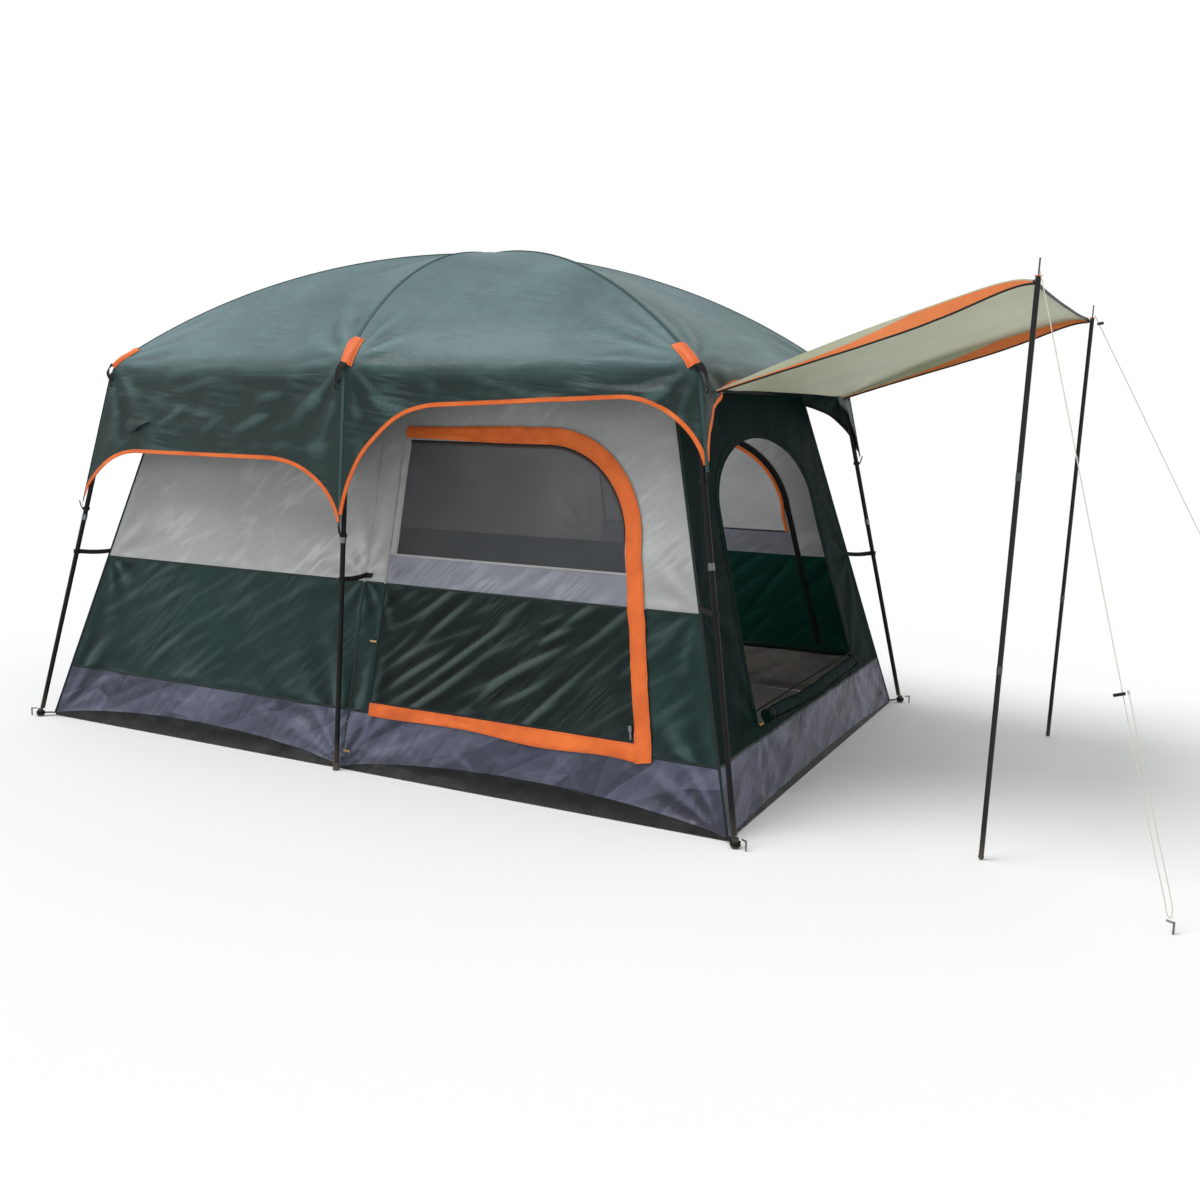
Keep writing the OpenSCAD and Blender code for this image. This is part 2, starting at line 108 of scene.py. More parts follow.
class Build:
    """Collects parts of one piece, with a material number for each face and four numbers for each point:
    how far it lies along and across its strip, how high it stands in a fold, and how much painted shade darkens its
    cloth."""

    def __init__(self):
        self.v, self.f, self.m = [], [], []
        self.data = {key: [] for key in KEYS}

    def add(self, v, f, mat=0, **data):
        k = len(self.v)
        v = np.asarray(v, float)
        self.v += v.tolist()
        self.f += [tuple(k + int(i) for i in q) for q in f]
        self.m += list(mat) if hasattr(mat, "__len__") else [mat] * len(f)
        for key in KEYS:
            self.data[key] += list(data.get(key, np.zeros(len(v))))

    def sheet(self, v, f, mat=0, t=CLOTH_T, back=None, **data):
        tv, tf = thick_sheet(np.asarray(v, float), f, t)
        m = list(mat) if hasattr(mat, "__len__") else [mat] * len(f)
        rim = [m[0] if m else 0] * (len(tf) - 2 * len(f))
        behind = m if back is None else [back] * len(f)
        self.add(tv, tf, m + behind + rim, **{key: list(val) * 2 for key, val in data.items()})

    def sweep(self, path, section, normal=None, mat=0, closed=False, widths=None):
        """A closed section of (across, up) points carried along a path; normal is the path's up side."""
        p = np.asarray(path, float)
        k, s = len(p), len(section)
        if closed:
            d = np.roll(p, -1, 0) - np.roll(p, 1, 0)
        else:
            d = np.gradient(p, axis=0)
        d /= np.linalg.norm(d, axis=1)[:, None]
        if normal is None:
            up_ = np.cross(d[0], [0.31, 0.62, 0.72])
            ups = []
            for t in d:
                up_ = up_ - t * np.dot(up_, t)
                up_ /= np.linalg.norm(up_)
                ups.append(up_)
            n = np.array(ups)
        else:
            n = np.broadcast_to(np.asarray(normal, float), p.shape).copy()
            n -= d * (n * d).sum(1)[:, None]
            n /= np.linalg.norm(n, axis=1)[:, None]
        b = np.cross(d, n)
        sec = np.asarray(section, float)
        w = np.ones(k) if widths is None else np.asarray(widths, float)
        v = p[:, None, :] + b[:, None, :] * (
            sec[None, :, 0:1] * w[:, None, None]
        ) + n[:, None, :] * (sec[None, :, 1:2] * w[:, None, None])
        f = [tuple(i % (k * s) for i in q) for q in grid(k if closed else k - 1, s, True)]
        if not closed:
            f.append(tuple(reversed(range(s))))
            f.append(tuple((k - 1) * s + a for a in range(s)))
        step = along(p)
        half = max(abs(sec[:, 0]).max(), 1e-6)
        self.add(v.reshape(-1, 3), f, mat, along=np.repeat(step, s), across=np.tile(sec[:, 0] / half, k))

    def piece(self, name, mats, body=None, slot=None, nodes=(), angle=50):
        mesh = bpy.data.meshes.new(name)
        mesh.from_pydata(self.v, [], self.f)
        for m in mats:
            mesh.materials.append(m)
        mesh.polygons.foreach_set("material_index", np.array(self.m, np.int32))
        mesh.polygons.foreach_set("use_smooth", np.ones(len(self.f), bool))
        for key, val in self.data.items():
            mesh.attributes.new(key, "FLOAT", "POINT").data.foreach_set("value", np.array(val, np.float32))
        mesh.update()
        mesh.set_sharp_from_angle(angle=math.radians(angle))
        o = bpy.data.objects.new(name, mesh)
        bpy.context.scene.collection.objects.link(o)
        if body:
            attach(o, body)
        if nodes:
            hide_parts(*nodes)
        return o


def spline(points, per=4):
    """A smooth run of points through the given ones."""
    p = np.asarray(points, float)
    q = np.vstack([2 * p[0] - p[1], p, 2 * p[-1] - p[-2]])
    out = []
    for i in range(1, len(q) - 2):
        a, b, c, d = q[i - 1 : i + 3]
        for k in range(per):
            t = k / per
            out.append(
                0.5
                * (
                    2 * b + (c - a) * t + (2 * a - 5 * b + 4 * c - d) * t * t
                    + (3 * b - a - 3 * c + d) * t**3
                )
            )
    return np.array(out + [p[-1]])


def resample(points, step, closed=False):
    p = np.asarray(points, float)
    if closed:
        p = np.vstack([p, p[:1]])
    out = []
    for a, b in zip(p[:-1], p[1:]):
        n = max(1, math.ceil(np.linalg.norm(b - a) / step))
        out += [a + (b - a) * k / n for k in range(n)]
    return np.array(out if closed else out + [p[-1]])


def disc(r, n=8, flat=1.0):
    return [(r * math.cos(TAU * k / n), r * flat * math.sin(TAU * k / n)) for k in range(n)]


def strap(w, h):
    """Section of a woven strap, w wide and h thick, with soft edges."""
    a, b, h = w / 2, w / 2 * 0.94, h / 2
    return [(-a, 0), (-b, -h), (0, -h), (b, -h), (a, 0), (b, h), (0, h), (-b, h)]


def round_(n):
    """n angles round a circle."""
    return np.linspace(0, TAU, n, endpoint=False)


def along(p):
    """How far each point of a line lies from its start."""
    return np.concatenate([[0], np.cumsum(np.linalg.norm(np.diff(p, axis=0), axis=1))])


def inside(poly, pts):
    x, y = pts[:, 0], pts[:, 1]
    hit = np.zeros(len(pts), bool)
    for (x0, y0), (x1, y1) in zip(poly, np.roll(poly, -1, 0)):
        if y0 != y1:
            hit ^= ((y0 > y) != (y1 > y)) & (x < (x1 - x0) * (y - y0) / (y1 - y0) + x0)
    return hit


def trim(outer, holes=(), cell=18 * MM):
    """A flat panel cut to an outline, as points and triangles of about one size."""
    loops = [resample(l, cell, True) for l in [outer, *holes]]
    edge = np.vstack(loops)
    links, k = [], 0
    for l in loops:
        links += [(k + i, k + (i + 1) % len(l)) for i in range(len(l))]
        k += len(l)
    lo, hi = edge.min(0), edge.max(0)
    rows = np.arange(lo[1], hi[1], cell * 0.866)
    grid = np.array(
        [(x + (j % 2) * cell / 2, y) for j, y in enumerate(rows) for x in np.arange(lo[0], hi[0], cell)]
    )
    ok = inside(loops[0], grid)
    for h in loops[1:]:
        ok &= ~inside(h, grid)
    grid = grid[ok]
    if len(grid):
        near = np.array([np.min((edge[:, 0] - x) ** 2 + (edge[:, 1] - y) ** 2) for x, y in grid])
        grid = grid[near > (0.55 * cell) ** 2]
    pts = [Vector(p) for p in edge] + [Vector(p) for p in grid]
    v, _, f, *_ = delaunay_2d_cdt(pts, links, [], 0, 1e-7)
    v = np.array([tuple(p) for p in v])
    tri = []
    for q in f:
        tri += [(q[0], q[i], q[i + 1]) for i in range(1, len(q) - 1)]
    tri = np.array(tri)
    mid = v[tri].mean(1)
    keep = inside(loops[0], mid)
    for h in loops[1:]:
        keep &= ~inside(h, mid)
    tri = tri[keep]
    a, b, c = v[tri[:, 0]], v[tri[:, 1]], v[tri[:, 2]]
    turn = (b - a)[:, 0] * (c - a)[:, 1] - (b - a)[:, 1] * (c - a)[:, 0]
    tri = tri[np.abs(turn) > 1e-10]
    turn = turn[np.abs(turn) > 1e-10]
    tri[turn < 0] = tri[turn < 0][:, ::-1]
    return v, [tuple(int(i) for i in t) for t in tri]


def bell(x, at, wide):
    """1 at a place, falling to 0 on both sides of it."""
    return np.exp(-(((x - at) / wide) ** 2))


def wob(x, y, seed):
    """Smooth noise from -1 to 1 over two arrays."""
    return np.array([noise.noise((float(a), float(b), seed)) for a, b in zip(x, y)])


def fan(x, y, at, reach, count, seed):
    """Folds that spread from a pulled point, from -1 to 1."""
    dx, dy = x - at[0], y - at[1]
    r = np.hypot(dx, dy) / reach
    a = np.arctan2(dy, dx)
    swell = np.clip(6.75 * r * np.clip(1 - r, 0, 1) ** 2, 0, 1)
    return swell * np.sin(count * (a + 0.12 * wob(dx * 5, dy * 5, seed)) + seed)


def creases(x, y, angle, long, wide, seed):
    """Tension folds that run near one angle, about -0.3 to 1: crisp ridges that fade at both ends."""
    c, s = math.cos(math.radians(angle)), math.sin(math.radians(angle))
    u, v = x * c + y * s, y * c - x * s
    du, dv = 0.75 * long, 1.1 * wide
    out = np.full(len(x), -0.25)
    for i in range(math.floor(u.min() / du) - 1, math.ceil(u.max() / du) + 2):
        for j in range(math.floor(v.min() / dv) - 1, math.ceil(v.max() / dv) + 2):
            rng = np.random.default_rng((int(seed * 10), i + 500, j + 500))
            cu, cv = (i + rng.uniform(-0.4, 0.4)) * du, (j + rng.uniform(-0.5, 0.5)) * dv
            lean, size = rng.normal(0, 0.08), rng.uniform(0.5, 1.0)
            power, bend = rng.uniform(0.25, 1.0), rng.normal(0, 0.25)
            t = (u - cu) / (0.5 * long * size)
            off = (v - cv - lean * (u - cu) - bend * wide * t * t) / (0.40 * wide)
            near = (np.abs(t) < 1) & (np.abs(off) < 3)
            if near.any():
                o = off[near]
                out[near] += power * (1 - t[near] ** 2) ** 1.5 * np.where(
                    o > 0, np.exp(-((o * 1.5) ** 2)), np.exp(-((o * 0.8) ** 2))
                )
    return out


def facets(x, y, long, wide, angle, seed):
    """Flat patches with crisp edges between them, as in a folded coated cloth, from 0 to 1."""
    c, s = math.cos(math.radians(angle)), math.sin(math.radians(angle))
    near = [
        noise.voronoi((float(a), float(b), seed))[0][:2]
        for a, b in zip((x * c + y * s) / long, (y * c - x * s) / wide)
    ]
    return np.clip(np.array([b - a for a, b in near]) / 0.8, 0, 1)


def crest(d, f, rounds=3):
    """How far each point of a sheet stands above the points round it."""
    q = np.array([(a, b) for face in f for a, b in zip(face, list(face[1:]) + [face[0]])])
    q = np.vstack([q, q[:, ::-1]])
    low, count = d, np.bincount(q[:, 0], minlength=len(d))
    for _ in range(rounds):
        low = np.bincount(q[:, 0], low[q[:, 1]], len(d)) / np.maximum(count, 1)
    return d - low


# ------------------------------------------------------------------ materials
def lin(r, g, b):
    return tuple(
        ((c / 255 + 0.055) / 1.055) ** 2.4 if c > 10 else c / 255 / 12.92 for c in (r, g, b)
    ) + (1.0,)


def shade(rgb, gain, add=0.0):
    """A paler or darker tone of a colour."""
    return lin(*[min(255, c * gain + add) for c in rgb])


class Mat:
    def __init__(self, name, **sockets):
        self.mat = bpy.data.materials.new(name)
        self.mat.use_nodes = True
        self.tree = self.mat.node_tree
        self.bsdf = self.tree.nodes["Principled BSDF"]
        for key, val in sockets.items():
            self.bsdf.inputs[key.replace("_", " ")].default_value = val
        self.xyz = self.node("ShaderNodeTexCoord").outputs["Object"]

    def node(self, kind, ins=(), **props):
        n = self.tree.nodes.new(kind)
        for key, val in props.items():
            setattr(n, key, val)
        for key, val in dict(ins).items():
            if isinstance(val, bpy.types.NodeSocket):
                self.tree.links.new(val, n.inputs[key])
            else:
                n.inputs[key].default_value = val
        return n

    def noise(self, scale, detail=3.0, rough=0.5, stretch=None, kind="FBM"):
        at = self.xyz
        if stretch:
            at = self.node("ShaderNodeVectorMath", {0: at, 1: stretch}, operation="MULTIPLY").outputs[0]
        ins = {"Vector": at, "Scale": scale, "Detail": detail, "Roughness": rough}
        return self.node("ShaderNodeTexNoise", ins, noise_type=kind).outputs["Fac"]

    def calc(self, op, a, b=0.0, c=0.0):
        return self.node("ShaderNodeMath", {0: a, 1: b, 2: c}, operation=op).outputs[0]

    def mul(self, a, b):
        return self.calc("MULTIPLY", a, b)

    def mad(self, a, b, c):
        """a times b, plus c."""
        return self.calc("MULTIPLY_ADD", a, b, c)

    def span(self, value, a, b, c, d):
        """Maps value from a..b to c..d."""
        ins = {"Value": value, "From Min": a, "From Max": b, "To Min": c, "To Max": d}
        return self.node("ShaderNodeMapRange", ins).outputs["Result"]

    def mix(self, fac, a, b, how="MIX"):
        return self.node("ShaderNodeMix", {0: fac, 6: a, 7: b}, data_type="RGBA", blend_type=how).outputs[2]

    def tint(self, value, a, b, dark, light):
        """A colour from dark to light as value goes from a to b."""
        return self.mix(self.span(value, a, b, 0, 1), lin(*dark), lin(*light))

    def over(self, col, value, a, b, most, rgb):
        """Lets a second colour show through, up to most, as value goes from a to b."""
        return self.mix(self.span(value, a, b, 0.0, most), col, rgb)

    def wave(self, value, pitch):
        return self.calc("SINE", self.mul(value, TAU / pitch))

    def dirt(self, col, top, most, scale, rgb):
        """Soil that fades out at a height above the ground."""
        low = self.mul(self.span(self.axes()[2], 0.0, top, most, 0.0), self.noise(scale, 4))
        return self.mix(low, col, lin(*rgb))

    def slant(self, angle, long, wide):
        """Flat coordinates on a wall, turned by an angle, one unit long and one unit wide."""
        x, y, z = self.axes()
        h = self.calc("ADD", x, y)
        c, s = math.cos(math.radians(angle)), math.sin(math.radians(angle))
        u = self.mad(h, c / long, self.mul(z, s / long))
        v = self.mad(z, c / wide, self.mul(h, -s / wide))
        return self.node("ShaderNodeCombineXYZ", {0: u, 1: v}).outputs[0]

    def attr(self, name):
        return self.node("ShaderNodeAttribute", attribute_name=name).outputs["Fac"]

    def bump(self, height, distance, strength=1.0, normal=None):
        ins = {"Height": height, "Distance": distance, "Strength": strength}
        if normal:
            ins["Normal"] = normal
        return self.node("ShaderNodeBump", ins).outputs["Normal"]

    def set(self, **links):
        for key, val in links.items():
            self.tree.links.new(val, self.bsdf.inputs[key.replace("_", " ")])
        return self.mat

    def axes(self):
        n = self.node("ShaderNodeSeparateXYZ", {0: self.xyz})
        return n.outputs[0], n.outputs[1], n.outputs[2]

    def weave(self, pitch):
        """Plain weave: two crossed sets of threads, from 0 to 1."""
        x, y, z = self.axes()
        a = self.wave(self.calc("ADD", x, y), pitch)
        w = self.mad(self.calc("SUBTRACT", x, y), 0.7, z)
        b = self.wave(w, pitch)
        return self.mad(self.mul(a, b), 0.5, 0.5)


def cloth(
    name, dark, light, rough=0.5, crease=1.0, dust=0.0, dust_top=0.35, sheen=0.03, pitch=1.6 * MM, spec=0.3,
    painted_fold_shading=0.5, painted_shade_rgb=None, grain=None, shine=26, gain=1.35, facet=None
):
    """Coated polyester: weave, slubs, soft fading, fine creases and dust low down, with painted highlights on fold
    crests, crease lines and facets, painted shade in fold hollows and on facets, and painted shade below the eave
    where a shade colour is given.
    """
    m = Mat(name, Sheen_Weight=sheen, Sheen_Roughness=0.45, IOR=1.48, Specular_IOR_Level=spec)
    broad = m.noise(1.6, 3, 0.55)
    fine = m.noise(45, 3, 0.6)
    slub = m.noise(30, 2, 0.5, (1, 1, 26))
    weave = m.weave(pitch)
    tone = m.mad(broad, 0.62, m.mad(fine, 0.22, m.mul(slub, 0.16)))
    col, pale = m.tint(tone, 0.36, 0.64, dark, light), light
    # painted shade: as the tone attribute rises below the eave, the cloth turns to the darker shade colour
    if painted_shade_rgb:
        low = m.mix(m.span(tone, 0.36, 0.64, 0, 1), lin(*painted_shade_rgb), shade(painted_shade_rgb, 1.3))
        col = m.mix(m.attr("tone"), col, low)
        pale = [(a + b) / 2 for a, b in zip(light, painted_shade_rgb)]
    crest_highlight = shade(pale, gain, shine)
    col = m.over(col, weave, 0, 1, 0.10, shade(pale, 1.25, 8))
    # paler along the ridges of a crinkle pattern, which also raises the bump below
    crinkle_ridges = m.noise(9, 6, 0.7, kind="RIDGED_MULTIFRACTAL")
    col = m.over(col, crinkle_ridges, 1.0, 1.9, 0.14, shade(pale, 1.3, shine / 2))
    fold = m.attr("fold")
    # painted highlight on fold crests and painted shade in fold hollows
    if painted_fold_shading:
        col = m.over(col, fold, 0.05, 1.0, painted_fold_shading, crest_highlight)
        col = m.over(col, fold, -0.05, -1.0, painted_fold_shading * 1.1, shade(dark, 0.35))
    if grain:
        angle, long, wide, depth = grain
        line = m.node(
            "ShaderNodeTexNoise",
            {"Vector": m.slant(angle, long, wide), "Scale": 1.0, "Detail": 2.0, "Roughness": 0.45}
        ).outputs["Fac"]
        ridge = m.span(m.calc("ABSOLUTE", m.mad(line, 2.0, -1.0)), 0.0, 0.22, 1.0, 0.0)
        ridge = m.mul(ridge, m.span(m.noise(4.5, 2), 0.45, 0.68, 0.0, 1.0))
        # painted highlight along the crease ridges
        col = m.mix(m.mul(ridge, 0.22), col, crest_highlight)
    if facet:
        angle, long, wide, height = facet
        folds, level = None, 1.0
        for turn, size in ((angle, 1.0), (angle + 27, 0.55)):
            ins = {"Vector": m.slant(turn, long * size, wide * size), "Scale": 1.0}
            edge = m.node(
                "ShaderNodeTexVoronoi", ins, feature="DISTANCE_TO_EDGE", voronoi_dimensions="2D"
            ).outputs["Distance"]
            cell = m.node(
                "ShaderNodeTexVoronoi", ins, feature="F1", voronoi_dimensions="2D"
            ).outputs["Color"]
            folds = edge if folds is None else m.mad(edge, 0.6, folds)
            # painted light: each facet painted lighter or darker, as if turned towards or away from the light
            col = m.over(col, cell, 0.45, 0.85, 0.34 * level, crest_highlight)
            col = m.over(col, cell, 0.45, 0.15, 0.30 * level, shade(dark, 0.62))
            level = 0.35
    if dust:
        z = m.axes()[2]
        low = m.mul(m.span(z, 0.0, dust_top, 1.0, 0.0), m.span(m.noise(11, 5, 0.65), 0.35, 0.75, 0.1, 1.0))
        col = m.mix(m.mul(low, dust), col, lin(158, 148, 132))
    crinkle = m.calc("ADD", m.mul(m.noise(16, 4, 0.62), 1.0), m.mul(crinkle_ridges, 0.10))
    bump = m.bump(crinkle, 7 * MM * crease, 0.55)
    if grain:
        bump = m.bump(ridge, depth, 0.6, bump)
    if facet:
        bump = m.bump(folds, height, 0.8, bump)
    bump = m.bump(weave, 0.12 * MM, 0.5, bump)
    return m.set(Base_Color=col, Roughness=m.span(fine, 0.3, 0.7, rough - 0.07, rough + 0.09), Normal=bump)


NET_PITCH = 2.2 * MM


def mesh_cloth(name, dark, light, cover):
    """Insect mesh: fine open net that lets part of the light through."""
    m = Mat(name, Roughness=0.8, Sheen_Weight=0.02, Specular_IOR_Level=0.15)
    x, y, z = m.axes()
    net = m.calc("MAXIMUM", m.wave(m.calc("ADD", x, y), NET_PITCH), m.wave(z, NET_PITCH))
    alpha = m.calc("ADD", m.span(net, -0.6, 1, -0.06, 0.06), cover)
    alpha = m.calc("ADD", alpha, m.span(m.noise(3.5, 3), 0.3, 0.7, -0.03, 0.03))
    col = m.mix(m.noise(6, 3), lin(*dark), lin(*light))
    return m.set(Base_Color=col, Alpha=alpha, Normal=m.bump(net, 0.10 * MM, 0.2))


def tape_cloth(name, dark, light, rough=0.55, stitch=(200, 90, 30), pucker=1.0, sheen=0.03):
    """Folded binding or zip cover: weave, puckered edges and a run of stitches near each edge."""
    m = Mat(name, Sheen_Weight=sheen, Sheen_Roughness=0.4, Specular_IOR_Level=0.3)
    along, across = m.attr("along"), m.attr("across")
    side = m.calc("ABSOLUTE", across)
    line = m.calc("COMPARE", side, 0.80, 0.055)
    dash = m.calc("GREATER_THAN", m.wave(along, 4.2 * MM), -0.45)
    thread = m.mul(line, dash)
    broad = m.noise(7, 4, 0.6)
    weave = m.weave(1.5 * MM)
    col = m.over(m.tint(broad, 0.3, 0.7, dark, light), weave, 0, 1, 0.12, shade(light, 1, 22))
    col = m.mix(m.mul(thread, 0.85), col, lin(*stitch))
    # darker in blotches towards both edges of the tape
    edge_darkening = m.mul(m.span(side, 0.86, 1.0, 0, 0.3), m.noise(60, 2))
    col = m.mix(edge_darkening, col, shade(dark, 0.55))
    gather = m.mul(m.noise(55, 3, 0.6), m.span(side, 0.2, 0.85, 0.35, 1.0))
    bump = m.bump(gather, 3.2 * MM * pucker, 0.7)
    bump = m.bump(m.calc("SUBTRACT", thread, m.mul(line, 0.6)), 0.7 * MM, 0.8, bump)
    bump = m.bump(weave, 0.12 * MM, 0.5, bump)
    return m.set(Base_Color=col, Roughness=m.span(broad, 0.3, 0.7, rough - 0.06, rough + 0.1), Normal=bump)


def webbing(name, dark, light):
    """Woven strap with ribs across it and stitched edges."""
    m = Mat(name, Roughness=0.7, Sheen_Weight=0.04, Sheen_Roughness=0.4, Specular_IOR_Level=0.25)
    along, across = m.attr("along"), m.attr("across")
    rib = m.wave(along, 1.8 * MM)
    cross = m.calc("SINE", m.mul(across, 26.0))
    pat = m.mad(m.mul(rib, cross), 0.5, 0.5)
    fuzz = m.noise(180, 3, 0.7)
    col = m.tint(m.mad(fuzz, 0.5, m.mul(pat, 0.5)), 0.2, 0.8, dark, light)
    return m.set(Base_Color=col, Normal=m.bump(pat, 0.35 * MM, 0.9))


def plastic(name, dark, light, rough=0.42):
    m = Mat(name, Specular_IOR_Level=0.35)
    n = m.noise(14, 4, 0.6)
    grain = m.noise(420, 2, 0.5)
    scuff = m.noise(70, 6, 0.75, (1, 1, 0.25), kind="RIDGED_MULTIFRACTAL")
    col = m.over(m.tint(n, 0.3, 0.7, dark, light), scuff, 1.25, 2.0, 0.35, lin(120, 118, 114))
    col = m.dirt(col, 0.07, 0.7, 60, (140, 128, 108))
    return m.set(
        Base_Color=col, Roughness=m.span(scuff, 0.8, 2.0, rough, rough + 0.2),
        Normal=m.bump(grain, 0.12 * MM, 0.5)
    )


def metal(name, dark, light, rough=0.35, metallic=1.0, paint=False):
    """Metal tube or wire: drawn lines, tone shifts, small scuffs and, if painted, chips."""
    m = Mat(name, Metallic=metallic, Specular_IOR_Level=0.22)
    drawn = m.noise(300, 3, 0.6, (1, 1, 0.02))
    n = m.noise(8, 4, 0.6)
    col = m.tint(m.mad(drawn, 0.4, m.mul(n, 0.6)), 0.3, 0.7, dark, light)
    chipped, bare = (0.5, (96, 96, 96)) if paint else (0.3, (60, 54, 48))
    col = m.over(col, m.noise(95, 5, 0.75), 0.70, 0.78, chipped, lin(*bare))
    col = m.dirt(col, 0.12, 0.55, 40, (126, 114, 96))
    return m.set(
        Base_Color=col, Roughness=m.span(n, 0.3, 0.7, rough - 0.08, rough + 0.12),
        Normal=m.bump(drawn, 0.08 * MM, 0.4)
    )


def pole_metal(name, foot, top, length):
    """Black pole tube: bright ferrules at its joints, a bare spike and an orange corner ring on top."""
    m = Mat(name, Specular_IOR_Level=0.35)
    z = m.axes()[2]
    rise = (top - foot) / length
    part = lambda a, b: m.mul(
        m.calc("GREATER_THAN", z, foot + a * rise), m.calc("LESS_THAN", z, foot + b * rise)
    )
    third, sleeve = length / 3, 23 * MM
    bright = m.calc(
        "ADD", part(third - 1 * MM, third + sleeve), part(2 * third - 1 * MM, 2 * third + sleeve)
    )
    spike = m.calc("GREATER_THAN", z, foot + (length + 3.6 * MM) * rise)
    ring = part(length + 0.7 * MM, length + 3.6 * MM)
    n = m.noise(12, 4, 0.6)
    drawn = m.noise(300, 3, 0.6, (1, 1, 0.02))
    black = m.mix(n, lin(4, 4, 5), lin(12, 12, 13))
    black = m.over(black, m.noise(80, 5, 0.75), 0.70, 0.78, 0.4, lin(90, 90, 90))
    steel = m.mix(drawn, lin(60, 61, 64), lin(104, 105, 108))
    shiny = m.calc("MINIMUM", m.calc("ADD", bright, spike), 1.0)
    col = m.mix(shiny, black, steel)
    col = m.mix(ring, col, m.mix(n, lin(220, 92, 28), lin(240, 122, 50)))
    col = m.dirt(col, 0.1, 0.55, 40, (126, 114, 96))
    return m.set(
        Base_Color=col, Metallic=shiny, Roughness=m.span(n, 0.3, 0.7, 0.32, 0.5),
        Normal=m.bump(drawn, 0.06 * MM, 0.4)
    )


def cord_cloth(name, dark, light):
    """Braided cord: slanted strands and a little fuzz."""
    m = Mat(name, Roughness=0.75, Sheen_Weight=0.1, Sheen_Roughness=0.4, Specular_IOR_Level=0.3)
    along, across = m.attr("along"), m.attr("across")
    s = m.mad(along, TAU / (2.4 * MM), m.mul(across, 3.0))
    t = m.mad(along, TAU / (2.4 * MM), m.mul(across, -3.0))
    braid = m.calc("MAXIMUM", m.calc("SINE", s), m.calc("SINE", t))
    col = m.tint(braid, -0.4, 1, dark, light)
    return m.set(Base_Color=col, Normal=m.bump(braid, 0.3 * MM, 0.8))


# the fly's one green, painted in two lights: dark and light are painted paler for the sky light on the roof, the shade
# colour painted darker for the hanging valance
FLY_GREEN = dict(
    dark=(62, 86, 88), light=(96, 120, 122), painted_shade_rgb=(10, 29, 26), rough=0.46, crease=0.7, spec=0.26,
    painted_fold_shading=0.34, grain=(-6, 0.30, 0.028, 2.0 * MM)
)
FLY = cloth("fly_cloth", **FLY_GREEN)
VALANCE = cloth("valance_cloth", **FLY_GREEN)
GREEN = cloth(
    "green_cloth", (8, 23, 20), (15, 32, 29), rough=0.38, crease=0.6, dust=0.02, sheen=0.01, spec=0.15,
    painted_fold_shading=0.95, grain=(40, 0.34, 0.020, 2.4 * MM), shine=58, gain=0.75
)
WALL_GREEN = cloth(
    "wall_green_cloth", (18, 38, 36), (28, 50, 48), rough=0.42, crease=0.6, dust=0.02, sheen=0.01,
    spec=0.15, painted_fold_shading=0.60, grain=(40, 0.40, 0.030, 1.6 * MM), shine=56, gain=0.75
)
# painted shade: the walls' dark green made darker for the end walls, their doorway binding and the rolled door,
# standing in for the dimmer light on the ends
END_GREEN_SHADED = cloth(
    "end_green_shaded_cloth", (3, 20, 18), (9, 30, 27), rough=0.62, crease=0.6, spec=0.03, sheen=0.0, painted_fold_shading=0.25,
    grain=(72, 0.80, 0.090, 0.8 * MM), shine=10
)
# painted light: a paler copy of the green for the inner faces of walls and doors, standing in for light that comes
# through the cloth
INNER_GREEN_LIT = cloth(
    "inner_green_lit_cloth", (12, 42, 36), (20, 56, 49), rough=0.6, crease=0.6, spec=0.05, sheen=0.0,
    painted_fold_shading=0.25, shine=14
)
GREY = cloth(
    "grey_cloth", (139, 141, 140), (156, 158, 157), rough=0.5, crease=0.4, spec=0.25, painted_fold_shading=0.13,
    grain=(36, 0.26, 0.05, 0.5 * MM)
)
SILL = cloth(
    "sill_cloth", (104, 107, 116), (120, 123, 131), rough=0.45, crease=0.6, painted_fold_shading=0.3,
    grain=(38, 0.25, 0.022, 1.6 * MM)
)
SKIRT = cloth(
    "skirt_cloth", (47, 50, 64), (64, 67, 83), rough=0.40, crease=0.4, dust=0.05, dust_top=0.14, spec=0.28,
    painted_fold_shading=0.34, shine=30, facet=(22, 0.42, 0.075, 12 * MM)
)
FLOOR = cloth(
    "floor_cloth", (14, 15, 16), (25, 26, 27), rough=0.5, crease=1.2, dust=0.10, dust_top=0.05,
    pitch=3 * MM, spec=0.2, painted_fold_shading=0.3
)
# the floor's brown-grey upper side, also painted paler to stand in for the dim light inside the tent
INNER_FLOOR = cloth(
    "inner_floor_cloth", (98, 95, 91), (120, 116, 111), rough=0.55, crease=1.0, pitch=3 * MM, spec=0.2,
    painted_fold_shading=0.12
)
AWNING = cloth(
    "awning_cloth", (166, 169, 143), (184, 186, 160), rough=0.52, crease=0.4, spec=0.25, painted_fold_shading=0.12
)
MESH = mesh_cloth("mesh_cloth", (66, 68, 70), (80, 82, 84), 0.58)
CEIL = mesh_cloth("ceiling_mesh", (120, 122, 122), (140, 142, 142), 0.72)
ORANGE = tape_cloth("orange_tape", (196, 84, 28), (224, 112, 46))
ORANGE_CLOTH = cloth("orange_cloth", (200, 84, 30), (226, 112, 50), rough=0.5, crease=1.0, painted_fold_shading=0.3)
HEM = cloth("hem_cloth", (216, 112, 58), (236, 138, 82), rough=0.5, crease=0.6, painted_fold_shading=0.2)
DARK_TAPE = tape_cloth("dark_tape", (8, 13, 12), (17, 23, 22), stitch=(34, 40, 38), pucker=0.6)
GREEN_TAPE = tape_cloth("green_tape", (9, 26, 23), (18, 38, 34), stitch=(8, 18, 16), pucker=0.8)
FLY_TAPE = tape_cloth("fly_tape", (36, 60, 60), (52, 78, 78), stitch=(26, 44, 44), pucker=0.8)
